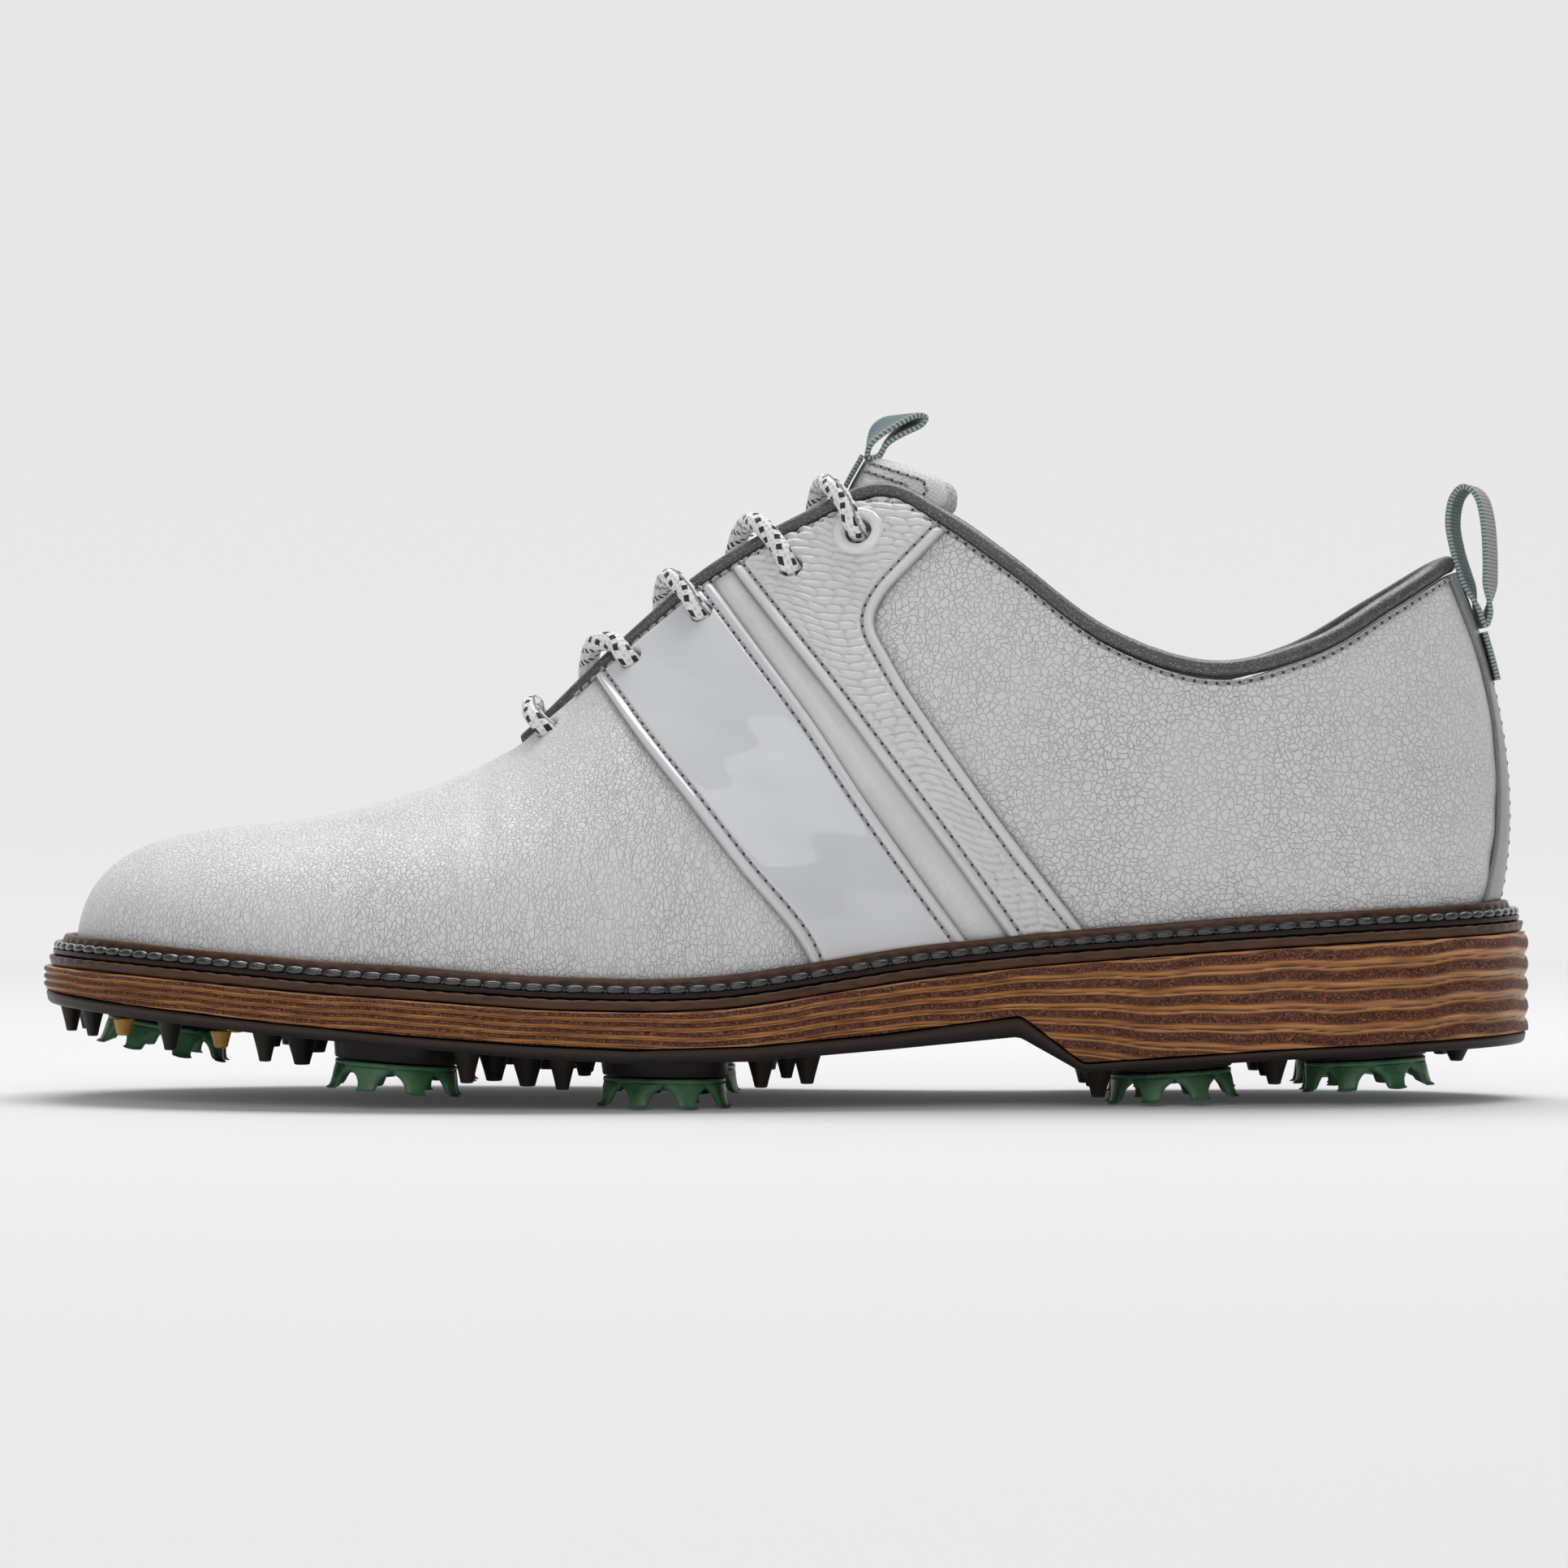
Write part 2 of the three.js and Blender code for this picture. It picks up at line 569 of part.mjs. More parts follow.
// ---------- tongue ----------
// The tongue's rows are arcs about the middle of the foot. It lies close under the vamp at its
// root, then drops to leave room for the lace, and stands up above the flaps at its head.
function tongueSpine() {
  const rows = TONGUE_STATIONS.map((t) => {
    const [, , , outer] = profile(t);
    const [, , , inner] = profile(LOOP - t);
    const middle = new THREE.Vector3().addVectors(outer, inner).multiplyScalar(0.5);
    const root = flapDepth + 3 * GAP;
    middle.z -= root + (TONGUE_DROP - root) * smooth(5.1, 6.1, t);
    return { middle, half: TONGUE_ROOT_HALF + (TONGUE_HEAD_HALF - TONGUE_ROOT_HALF) * smooth(5.5, 6.7, t) };
  });
  const last = rows[rows.length - 1];
  TONGUE_TOP.forEach(([dx, dz]) => {
    const middle = last.middle.clone().add(new THREE.Vector3(dx, 0, dz));
    rows.push({ middle, half: last.half });
  });
  return rows;
}

const TONGUE_STATIONS = [4.9, 5.4, 5.9, 6.4, 7, 7.6, 8.2, 8.8, 9.3];
const TONGUE_TOP = [[1.8, 5.5], [4.2, 11.5], [7.5, 17.5]]; // further rows, back and up from the last one
const TONGUE_ARC = 27; // radius of the arc across it
const TONGUE_DROP = flapDepth + 2 * LACE_RADIUS + 2.5; // room for the lace under the flaps
const TONGUE_ROOT_HALF = 20;
const TONGUE_HEAD_HALF = 13.5;
const TONGUE_FLARE = 4.5; // the head is wider by this on each side
const TONGUE_HEAD_ARC = 20.5; // radius of the arc across the head
const TONGUE_GAP = 0.9; // between its layers
const TONGUE_CURL = 8; // how far the corners of the head curl back
const TONGUE_DROOP = 1.5; // and down
function tongueLayer(near, far) {
  const spine = tongueSpine();
  const surface = (extra) =>
    spine.map(({ middle, half }, i) => {
      const before = spine[Math.max(0, i - 1)].middle;
      const after = spine[Math.min(spine.length - 1, i + 1)].middle;
      const up = new THREE.Vector3(before.z - after.z, 0, after.x - before.x).normalize();
      const wing = 1 - smooth(4, 22, middle.distanceTo(spine[spine.length - 1].middle));
      const arc = TONGUE_ARC + (TONGUE_HEAD_ARC - TONGUE_ARC) * wing;
      const reach = Math.asin((half + TONGUE_FLARE * wing) / arc);
      return steps(-reach, reach, 8).map((a) => {
        const p = middle.clone().addScaledVector(up, (arc - extra) * Math.cos(a) - arc);
        p.y += (arc - extra) * Math.sin(a);
        p.x += TONGUE_CURL * wing * (a / reach) ** 2;
        p.z -= TONGUE_DROOP * wing * (a / reach) ** 2;
        return p;
      });
    });
  const top = surface(near);
  const bottom = surface(far);
  return loft(top.map((row, i) => [...bottom[i], ...[...row].reverse()]));
}

const skinFar = TONGUE_SKIN;
const foamNear = skinFar + TONGUE_GAP;
const foamFar = foamNear + TONGUE_FOAM;
const backNear = foamFar + TONGUE_GAP;
const backFar = backNear + TONGUE_SKIN;
addMesh("tongue", clean(tongueLayer(0, skinFar)), "textile");
addMesh("tongue_foam", clean(tongueLayer(foamNear, foamFar)), "foam");
addMesh("tongue_lining", clean(tongueLayer(backNear, backFar)), "textile");

// ---------- lace ----------
// One cord: a bar across the front pair, then two runs that cross. Each run leaves from under
// one flap, crosses the tongue and goes over the other flap into the next hole.
const overDepth = -(LACE_RADIUS + LACE_CLEARANCE);
const turn = (underDepth - overDepth) / 2;

function lacePoint(t, w, d) {
  return instep(t, w, d).point;
}

// Outside to inside through hole k, bending back under the flap or on outwards.
function throughHole(k, side, inward) {
  const { t, w } = holeAt(k, side);
  const mid = (overDepth + underDepth) / 2;
  const raised = inward < 0 ? EYELET_FLANGE : 0;
  const back = side * inward;
  return [
    lacePoint(t - 0.05, w - side * (turn + raised), overDepth - raised),
    lacePoint(t - 0.03, w - side * turn * 0.3, mid - turn * 0.72 - raised),
    lacePoint(t, w, mid),
    lacePoint(t + 0.03, w - back * turn * 0.3, mid + turn * 0.72),
    lacePoint(t + 0.05, w - back * turn, underDepth),
  ];
}

function crossing(k, side, high) {
  const t0 = HOLE_STATIONS[k];
  const t1 = HOLE_STATIONS[k + 1];
  const span = t1 - t0;
  const tA = t0 + 0.22 * span;
  const tB = t1 - 0.22 * span;
  const lift = high ? 0.6 : 0.6 + 2 * LACE_RADIUS + LACE_CLEARANCE;
  return [
    lacePoint(tA, side * (section(tA).half + 0.5), underDepth + 0.35),
    lacePoint((t0 + t1) / 2, 0, lift),
    lacePoint(tB, -side * (section(tB).half + 0.5), overDepth - 0.4),
  ];
}

function laceRun(startSide) {
  const path = [];
  let side = startSide;
  for (let k = 0; k < HOLE_STATIONS.length; k += 1) {
    const final = k === HOLE_STATIONS.length - 1;
    path.push(...throughHole(k, side, final ? -1 : 1));
    if (final) break;
    path.push(...crossing(k, side, side > 0));
    side = -side;
  }
  const { t, w } = holeAt(HOLE_STATIONS.length - 1, side);
  path.push(lacePoint(t + 0.1, w + side * 9, underDepth));
  path.push(lacePoint(t + 0.15, w + side * 19, underDepth));
  return path;
}

const barT = HOLE_STATIONS[0] - 0.05;
const bar = [
  lacePoint(barT, -section(barT).half, overDepth - 0.3),
  lacePoint(barT, 0, overDepth + 0.4),
  lacePoint(barT, section(barT).half, overDepth - 0.3),
];
const laceKnots = [...laceRun(-1).reverse(), ...bar, ...laceRun(1)];

function through(knots, per) {
  const curve = new THREE.CatmullRomCurve3(knots, false, "centripetal");
  return curve.getPoints((knots.length - 1) * per);
}
addMesh("lace", clean(tube(through(laceKnots, 2), LACE_RADIUS, 6)), "lace");

// ---------- eyelets of the top pair ----------
function latheRing(profilePoints, segments) {
  const points = profilePoints.map(([r, z]) => new THREE.Vector2(r, z));
  points.push(points[0].clone());
  const g = new THREE.LatheGeometry(points, segments);
  g.rotateX(Math.PI / 2);
  return g;
}

function seat(geometry, point, normal) {
  geometry.applyQuaternion(new THREE.Quaternion().setFromUnitVectors(new THREE.Vector3(0, 0, 1), normal));
  geometry.translate(point.x, point.y, point.z);
  return geometry;
}

for (const [side, sign] of [["lateral", -1], ["medial", 1]]) {
  const { t, w } = holeAt(HOLE_STATIONS.length - 1, sign);
  const { point, normal } = instep(t, w, 0);
  const inner = EYELET_BARREL - 0.6;
  const ring = [
    [inner, -flapDepth], [EYELET_BARREL, -flapDepth], [EYELET_BARREL, GAP + 0.15],
    [5.1, GAP + 0.15], [5.1, 0.7], [4.6, EYELET_FLANGE], [inner + 0.6, EYELET_FLANGE], [inner, 0.7],
  ];
  addMesh("eyelet_" + side, clean(seat(latheRing(ring, 16), point, normal)), "patent");
}

// ---------- pull loops ----------
// A ribbon loop drawn in the side view and given a width across the shoe.
function bandShape(mid, thickness) {
  const n = mid.length;
  const offset = (by) =>
    mid.map(([x, z], i) => {
      const [ax, az] = mid[(i + n - 1) % n];
      const [bx, bz] = mid[(i + 1) % n];
      const l = Math.hypot(bx - ax, bz - az);
      return new THREE.Vector2(x + ((bz - az) / l) * by, z - ((bx - ax) / l) * by);
    });
  const shape = new THREE.Shape(offset(thickness / 2));
  shape.holes.push(new THREE.Path(offset(-thickness / 2)));
  return shape;
}

function acrossShoe(shape, width, y0 = 0) {
  const g = new THREE.ExtrudeGeometry(shape, { depth: width, bevelEnabled: false, curveSegments: 4 });
  g.rotateX(Math.PI / 2);
  g.translate(0, width / 2 + y0, 0);
  return g;
}

const RIBBON = 1.3;
const RIBBON_WIDTH = 12;
function polygon(outline) {
  return new THREE.Shape(outline.map(([x, z]) => new THREE.Vector2(x, z)));
}
const HEEL_LOOP = [
  [141.3, 95.4], [142.2, 98.6], [142.5, 103.5], [142.5, 110], [142.0, 116.5], [140.7, 121.2],
  [138.1, 123.1], [135.8, 120.8], [135.0, 116], [135.8, 111], [137.1, 106.6], [139.4, 99.9], [140.4, 96.2],
];
addMesh("heel_pull_loop", clean(acrossShoe(bandShape(HEEL_LOOP, RIBBON), RIBBON_WIDTH)), "ribbon");

const tabLine = steps(0.63, 0.765, 3).map((v) => lastPoint(LAST, v));
const tabOff = (by) => tabLine.map((p) => [p.x + by, p.z + by * 0.25]);
const tabShape = [...tabOff(GAP + 0.1), ...tabOff(GAP + RIBBON).reverse()];
addMesh(
  "heel_loop_tab",
  clean(acrossShoe(polygon(tabShape), RIBBON_WIDTH)),
  "ribbon",
);

// The tongue's loop stands on the tongue's head, drawn from the middle of that head.
const headRow = tongueSpine().pop().middle;
const TONGUE_LOOP = [
  [1.6, 0.2], [1.2, 3.6], [3.9, 6.6], [7.4, 8.2], [9.6, 7.0], [9.0, 3.8], [6.2, 1.5], [3.6, -0.1],
].map(([dx, dz]) => [headRow.x + dx, headRow.z + dz]);
const tongueBand = bandShape([...TONGUE_LOOP].reverse(), RIBBON);
addMesh("tongue_pull_loop", clean(acrossShoe(tongueBand, RIBBON_WIDTH, headRow.y)), "ribbon");
const frontTab = tongueSpine().slice(-2).map(({ middle }) => [middle.x, middle.z]);
const [[tx0, tz0], [tx1, tz1]] = frontTab;
const tongueTab = [
  [tx0 - 0.5, tz0 + 0.6], [tx1 - 0.6, tz1 + 0.1], [tx1 - 1.7, tz1 + 0.5], [tx0 - 1.6, tz0 + 1.0],
];
const tabBand = polygon(tongueTab.reverse());
addMesh("tongue_loop_tab", clean(acrossShoe(tabBand, RIBBON_WIDTH, headRow.y)), "ribbon");

// ---------- sole stack ----------
const HALF_STATIONS = [
  0, 0.5, 1, 1.5, 2, 2.5, 3, 3.5, 4, 5, 6, 7, 8, 9, 10, 11, 12, 13, 14, 15, 15.5, 16, 16.5, 17, 17.5,
];
const SOLE_CS = [...HALF_STATIONS, LAST, ...HALF_STATIONS.slice(1).map((t) => LOOP - t).reverse()];

// One loop of points at a distance out from the feather line and a height given by x.
function soleRing(out, height) {
  return SOLE_CS.map((c) => {
    const p = outlinePoint(c, out);
    return new THREE.Vector3(p.x, p.y, height(p.x));
  });
}

function ringSides(rings, closed) {
  const n = SOLE_CS.length;
  const faces = [];
  const count = closed ? rings.length : rings.length - 1;
  for (let k = 0; k < count; k += 1) {
    const low = k * n;
    const high = ((k + 1) % rings.length) * n;
    for (let i = 0; i < n; i += 1) {
      const j = (i + 1) % n;
      faces.push([low + i, low + j, high + j], [low + i, high + j, high + i]);
    }
  }
  return faces;
}

// Rings from bottom to top, closed by a cap that follows the last ring's height.
function slab(rings) {
  const n = SOLE_CS.length;
  const faces = ringSides(rings, false);
  const top = (rings.length - 1) * n;
  for (let i = 0; i < n / 2; i += 1) {
    const [a, b, c, d] = [i, i + 1, n - i - 1, (n - i) % n];
    const quad = [[a, b, c], [a, c, d]].filter((f) => new Set(f).size === 3);
    quad.forEach(([p, q, r]) => {
      faces.push([top + p, top + q, top + r], [p, r, q]);
    });
  }
  return indexed(rings.flat(), faces);
}

// Rings round a closed profile: outer bottom, outer top, inner top, inner bottom.
function hoop(rings) {
  return indexed(rings.flat(), ringSides(rings, true));
}

const weltTop = (x) => level(WELT_TOP, x);
const platform = (x) => weltTop(x) - LIP_HEIGHT;
const weltBottom = (x) => platform(x) - WELT_THICKNESS;
const stripTop = (x) => weltBottom(x) - GAP;
const stripBottom = (x) => stripTop(x) - STRIP_THICKNESS;
const stackTop = (x) => stripBottom(x) - GAP;
const stackBottom = (x) => level(STACK_BOTTOM, x);
const soleBottom = (x) => level(SOLE_BOTTOM, x);

const GROOVE_OUT = 3.6;
const THREAD_RADIUS = 0.75;
addMesh(
  "storm_welt",
  clean(hoop([
    soleRing(WELT_OUT, weltBottom),
    soleRing(WELT_OUT, platform),
    soleRing(LIP_OUT, platform),
    soleRing(LIP_OUT - 0.2, weltTop),
    soleRing(1.3, weltTop),
    soleRing(0.8, platform),
    soleRing(RING_IN, platform),
    soleRing(RING_IN, weltBottom),
  ])),
  "welt",
);
const threadHeight = (x) => platform(x) + GAP + THREAD_RADIUS;
const threadLine = (dOut, dUp) => soleRing(GROOVE_OUT + dOut, (x) => threadHeight(x) + dUp);
addMesh(
  "welt_thread",
  clean(hoop([
    threadLine(0, -THREAD_RADIUS),
    threadLine(THREAD_RADIUS, 0),
    threadLine(0, THREAD_RADIUS),
    threadLine(-THREAD_RADIUS, 0),
  ])),
  "thread",
);
addMesh(
  "welt_strip",
  clean(hoop([
    soleRing(STRIP_OUT, stripBottom),
    soleRing(STRIP_OUT, stripTop),
    soleRing(RING_IN, stripTop),
    soleRing(RING_IN, stripBottom),
  ])),
  "welt",
);

// Midsole: ridges run round it, finer at the forefoot where the stack is thinner.
const RIDGES = 5;
const RIDGE_DEPTH = 0.7;
const stackRings = steps(0, 1, 2 * RIDGES).map((f, k) => {
  const out = STACK_OUT - (k % 2 === 0 ? RIDGE_DEPTH : 0);
  return soleRing(out, (x) => stackBottom(x) + f * (stackTop(x) - stackBottom(x)));
});
addMesh("midsole", clean(slab(stackRings)), "stack");

const insideLining = -(LEATHER + GAP + LINING + Math.max(TOE_PUFF, COUNTER) + 3 * GAP);
const boardBottom = (x) => platform(x) + GAP;
const boardTop = (x) => boardBottom(x) + BOARD_THICKNESS;
addMesh("lasting_board", clean(slab([
  soleRing(insideLining, boardBottom),
  soleRing(insideLining, boardTop),
])), "board");
const sockBottom = (x) => boardTop(x) + GAP;
const sockTop = (x) => sockBottom(x) + SOCK_THICKNESS;
addMesh("sock_liner", clean(slab([
  soleRing(insideLining - 1.2, sockBottom),
  soleRing(insideLining - 2.4, sockTop),
])), "textile");

// Cork filler inside the welt, with a channel for the shank.
const SHANK_START = -22;
const SHANK_END = 96;
function strap(x0, x1, halfWidth, low, high) {
  const rings = steps(x0, x1, 8).map((x) => {
    const y = -3;
    return [
      new THREE.Vector3(x, y - halfWidth, low(x)),
      new THREE.Vector3(x, y + halfWidth, low(x)),
      new THREE.Vector3(x, y + halfWidth, high(x)),
      new THREE.Vector3(x, y - halfWidth, high(x)),
    ];
  });
  return loft(rings);
}
const shankTop = (x) => platform(x);
const shankBottom = (x) => shankTop(x) - SHANK_THICKNESS;
const channelBottom = (x) => shankBottom(x) - GAP;
const channelTop = (x) => shankTop(x) + 2;
const channelHalf = SHANK_WIDTH / 2 + GAP;
const channel = solid(strap(SHANK_START - GAP, SHANK_END + GAP, channelHalf, channelBottom, channelTop));
const filler = solid(slab([
  soleRing(RING_IN - GAP, (x) => stackTop(x) + GAP),
  soleRing(RING_IN - GAP, platform),
]));
addMesh("cork_filler", geometryOf(filler.subtract(channel)), "board");
addMesh("shank", clean(strap(SHANK_START, SHANK_END, SHANK_WIDTH / 2, shankBottom, shankTop)), "steel");

// ---------- cleats and outsole ----------
// [name, x, y, height of the foot plane, tilt in degrees]
const CLEATS = [
  ["toe", -125, -3, 9.6, 9.6],
  ["fore_lateral_front", -76.5, -33, 3.0, 4.2],
  ["fore_lateral_rear", -23.5, -35, 0.2, 0.8],
  ["fore_medial_front", -76.5, 29, 3.0, 4.2],
  ["fore_medial_rear", -22, 23, 0.2, 0.8],
  ["heel_lateral_front", 77, -20.5, 0.8, -3.3],
  ["heel_lateral_rear", 115.8, -18, 3.0, -3.3],
  ["heel_medial_front", 79, 17, 0.9, -3.3],
  ["heel_medial_rear", 116.8, 15, 3.05, -3.3],
];

function cleatFrame([, x, y, footZ, tilt]) {
  const angle = THREE.MathUtils.degToRad(tilt);
  const axis = new THREE.Vector3(Math.sin(angle), 0, Math.cos(angle));
  const origin = new THREE.Vector3(x, y, footZ).addScaledVector(axis, CLEAT_SEAT);
  return { axis, origin };
}

function disc(radius, z0, z1, sides) {
  const g = new THREE.CylinderGeometry(radius, radius, z1 - z0, sides);
  g.rotateX(Math.PI / 2);
  g.translate(0, 0, (z0 + z1) / 2);
  return g;
}

function placed(geometry, frame) {
  return seat(geometry, frame.origin, frame.axis);
}

const NUBS = [
  [-143.5, -2, 5, 2.2], [-138, -13, 5, 2.2], [-142, 12, 5, 2.2], [-135, 21, 5, 2.2],
  [-121, -28, 5.5, 2.4], [-101.5, -37, 5.5, 2.4], [-95, -28, 6, 3.2], [-126, 30, 5.5, 2.4],
  [-103, 35, 5.5, 2.4], [-96, 24, 6, 3.2], [-104, -10, 5, 2.6], [-104, 12, 5, 2.6],
  [-84, -6, 5, 2.6], [-61.5, -47, 6, 2.6], [-57, -31, 6, 3.2], [-50, -41, 6, 3.2],
  [-43, -46, 6, 2.6], [-57, 38, 6, 3.2], [-49, 30, 6, 3.2], [-44, 40, 6, 2.6],
  [-58, 3, 5, 2.6], [-40, -8, 5, 2.6], [-40, 8, 5, 2.6], [-4.5, -41, 5.5, 2.6],
  [0.5, -31, 4.5, 2.2], [4.5, -40, 5.5, 2.6], [-3, 30, 5.5, 2.6], [4, 22, 5, 2.6],
  [61.8, -31, 5.2, 2.7], [62, 26, 5.2, 2.7], [62, -3, 4.5, 2.4], [96.5, -30, 4.8, 2.6],
  [97, 27, 4.8, 2.6], [97, -2, 4.5, 2.4], [134, -15, 2.5, 2.6], [134, 14, 2.5, 2.6],
];

function nub(x, y, height, radius) {
  const top = 1.2;
  const g = new THREE.CylinderGeometry(radius, radius * 0.42, height + top, 4);
  g.rotateX(Math.PI / 2);
  g.translate(x, y, soleBottom(x) + top - (height + top) / 2);
  return solid(g);
}

let outsole = solid(slab([
  soleRing(SOLE_OUT - 1.6, soleBottom),
  soleRing(SOLE_OUT, (x) => Math.min(soleBottom(x) + 1.2, stackBottom(x) - GAP - 0.4)),
  soleRing(SOLE_OUT, (x) => stackBottom(x) - GAP),
]));
const bosses = [];
const pockets = [];
for (const cleat of CLEATS) {
  const frame = cleatFrame(cleat);
  const reach = soleBottom(cleat[1]) - frame.origin.z + 0.9;
  bosses.push(solid(placed(disc(BOSS_RADIUS, GAP, reach, 14), frame)));
  const deep = GAP + RECEPTACLE_THICKNESS + GAP;
  pockets.push(solid(placed(disc(RECEPTACLE_RADIUS + GAP, -2, deep, 12), frame)));
}
outsole = wasm.Manifold.union([outsole, ...bosses, ...NUBS.map((n) => nub(...n))]);
outsole = outsole.subtract(wasm.Manifold.union(pockets));
addMesh("outsole", geometryOf(outsole), "outsole");

// Gold accents: small frustums under the toe.
const ACCENTS = [["toe", -131, -20.5], ["lateral", -110.5, -33], ["medial", -113.5, 33]];
for (const [name, x, y] of ACCENTS) {
  const g = new THREE.CylinderGeometry(2.1, 1.3, 3.4, 8);
  g.rotateX(Math.PI / 2);
  g.translate(x, y, soleBottom(x) - GAP - 0.3 - 1.7);
  addMesh("accent_nub_" + name, clean(g), "accent");
}

// A cleat: a disc with a stem and eight curved legs that flare outwards.
const LEGS = 8;
function leg(turnAngle) {
  const spine = [
    [10.3, -0.5, 3.0, 0.9],
    [11.9, -3.2, 2.2, 0.8],
    [CLEAT_TIP_RADIUS - 0.55, -CLEAT_HEIGHT, 1.7, 0.5],
  ];
  const rings = spine.map(([r, z, half, thick]) => [
    new THREE.Vector3(r - thick, -half, z),
    new THREE.Vector3(r + thick, -half, z),
    new THREE.Vector3(r + thick, half, z),
    new THREE.Vector3(r - thick, half, z),
  ]);
  const g = loft(rings.reverse());
  g.rotateZ(turnAngle);
  return solid(g);
}

const legs = steps(0, 2 * Math.PI, LEGS).slice(0, -1).map((a) => leg(a + Math.PI / LEGS));
const cleatBody = wasm.Manifold.union([
  solid(disc(CLEAT_RADIUS, -1.7, 0, 12)),
  solid(disc(STEM_RADIUS, -0.5, GAP + STEM_LENGTH, 8)),
  ...legs,
]);
const cleatShape = geometryOf(cleatBody);
const receptacleBody = solid(disc(RECEPTACLE_RADIUS, GAP, GAP + RECEPTACLE_THICKNESS, 12)).subtract(
  solid(disc(STEM_RADIUS + 2 * GAP, -1, GAP + STEM_LENGTH + GAP, 10)),
);
const receptacleShape = geometryOf(receptacleBody);
for (const cleat of CLEATS) {
  const frame = cleatFrame(cleat);
  addMesh("receptacle_" + cleat[0], placed(receptacleShape.clone(), frame), "outsole");
  addMesh("cleat_" + cleat[0], placed(cleatShape.clone(), frame), "cleat");
}

// ---------- export ----------
// The origin is the middle of the box the shoe fills, on the floor.
group.scale.setScalar(LENGTH_SCALE);
group.updateMatrixWorld(true);
const bounds = new THREE.Box3().setFromObject(group, true);
const centre = bounds.getCenter(new THREE.Vector3());
group.position.set(-centre.x, -centre.y, -bounds.min.z);
group.updateMatrixWorld(true);

export default group;
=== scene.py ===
"""Golf shoe: the looks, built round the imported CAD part.

Tables are in millimetres, in the drawing frame of part.mjs; build() moves them to the row
frame and to metres. The upper, the sole layers and the lace follow the same surfaces as the CAD.
"""
import math
from functools import lru_cache

import bpy
import numpy as np
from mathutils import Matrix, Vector


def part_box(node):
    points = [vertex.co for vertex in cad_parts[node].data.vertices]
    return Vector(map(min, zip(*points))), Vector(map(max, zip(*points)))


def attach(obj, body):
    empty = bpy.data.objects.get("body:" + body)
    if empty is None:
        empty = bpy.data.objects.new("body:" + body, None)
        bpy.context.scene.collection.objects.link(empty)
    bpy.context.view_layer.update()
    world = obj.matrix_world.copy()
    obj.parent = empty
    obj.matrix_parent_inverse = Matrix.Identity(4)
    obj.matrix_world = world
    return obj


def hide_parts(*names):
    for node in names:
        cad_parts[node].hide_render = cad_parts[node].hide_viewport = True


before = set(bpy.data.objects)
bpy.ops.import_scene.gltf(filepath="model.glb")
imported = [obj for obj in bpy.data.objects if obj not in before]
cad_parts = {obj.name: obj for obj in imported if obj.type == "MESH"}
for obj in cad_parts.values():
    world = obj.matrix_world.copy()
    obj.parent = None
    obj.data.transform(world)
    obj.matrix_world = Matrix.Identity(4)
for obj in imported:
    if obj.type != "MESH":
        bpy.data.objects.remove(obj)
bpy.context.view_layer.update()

# ---------- sizes shared with the CAD ----------
SHANK_START, SHANK_SIDE = -22.0, -10.5
shank_low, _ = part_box("shank")
SHIFT = np.array([shank_low.x * 1000 - SHANK_START, shank_low.y * 1000 - SHANK_SIDE, 0.0])
GAP, LEATHER, LINING, TOE_PUFF, COUNTER, COLLAR_PAD = 0.3, 1.4, 1.0, 1.1, 1.2, 4.4
PIPING_RADIUS, LACE_RADIUS, LACE_CLEARANCE = 1.5, 1.7, 0.6
TONGUE_SKIN, TONGUE_FOAM = 1.0, 2.0
LIP_HEIGHT, FOOT_RISE, WELT_THICKNESS, STRIP_THICKNESS = 3.0, 1.2, 1.1, 1.8
BOARD_THICKNESS, SOCK_THICKNESS = 1.7, 3.0
CLEAT_HEIGHT, CLEAT_RADIUS, CLEAT_TIP_RADIUS = 5.8, 12.0, 13.75
RECEPTACLE_RADIUS, BOSS_RADIUS = 9.0, 12.2
LAST, LOOP, RIDGE = 18, 36, 5

# One row per station from the toe tip (0) to the back seam (18):
# feather x, y, top x, y, z, foot out, foot up, head out, head down
LATERAL = [
    [-143.0, 4.0, -103, 4.0, 55.4, -1.5, 18.2, 25, 1.5],
    [-140.5, -9.0, -101, 4.0, 55.5, -0.5, 18.0, 24, 1.5],
    [-132.0, -21.0, -97, 4.0, 56.2, 0.5, 18.0, 21, 1.6],
    [-118.0, -32.0, -90, 3.8, 57.6, 1.5, 18.0, 20, 2.2],
    [-97.0, -41.5, -79, 3.2, 60.5, 2.5, 19.0, 20, 2.3],
    [-72.0, -48.0, -65, 2.0, 65.3, 3.5, 23.0, 20, 2.8],
    [-50.0, -50.5, -53, -5.0, 72.5, 4.5, 27.0, 16, 5.0],
    [-28.0, -49.5, -36, -9.5, 89.0, 5.0, 30.0, 15, 11.0],
    [-5.0, -46.0, -16, -11.5, 106.3, 5.0, 33.0, 15, 17.0],
    [16.0, -41.5, 4, -14.0, 117.6, 6.0, 36.0, 14, 21.0],
    [33.0, -37.5, 19, -17.0, 123.4, 7.0, 37.0, 12, 24.0],
    [46.2, -34.5, 31, -22.0, 117.8, 7.5, 35.0, 9, 24.0],
    [58.5, -33.0, 44, -28.5, 108.5, 7.5, 29.0, 6, 22.0],
    [77.0, -32.0, 63, -33.0, 94.2, 7.5, 23.0, 3, 16.0],
    [95.0, -31.5, 84, -34.0, 87.5, 6.5, 20.0, 2, 12.0],
    [112.0, -30.0, 104.5, -30.5, 92.0, 6.0, 21.0, 2, 14.0],
    [127.0, -24.5, 120, -21.0, 101.0, 6.0, 22.0, 4, 16.0],
    [138.5, -14.0, 130.5, -11.0, 107.6, 6.0, 23.0, 7, 19.0],
    [143.5, 0.0, 134, 0.0, 109.3, 6.0, 23.0, 9, 21.0],
]
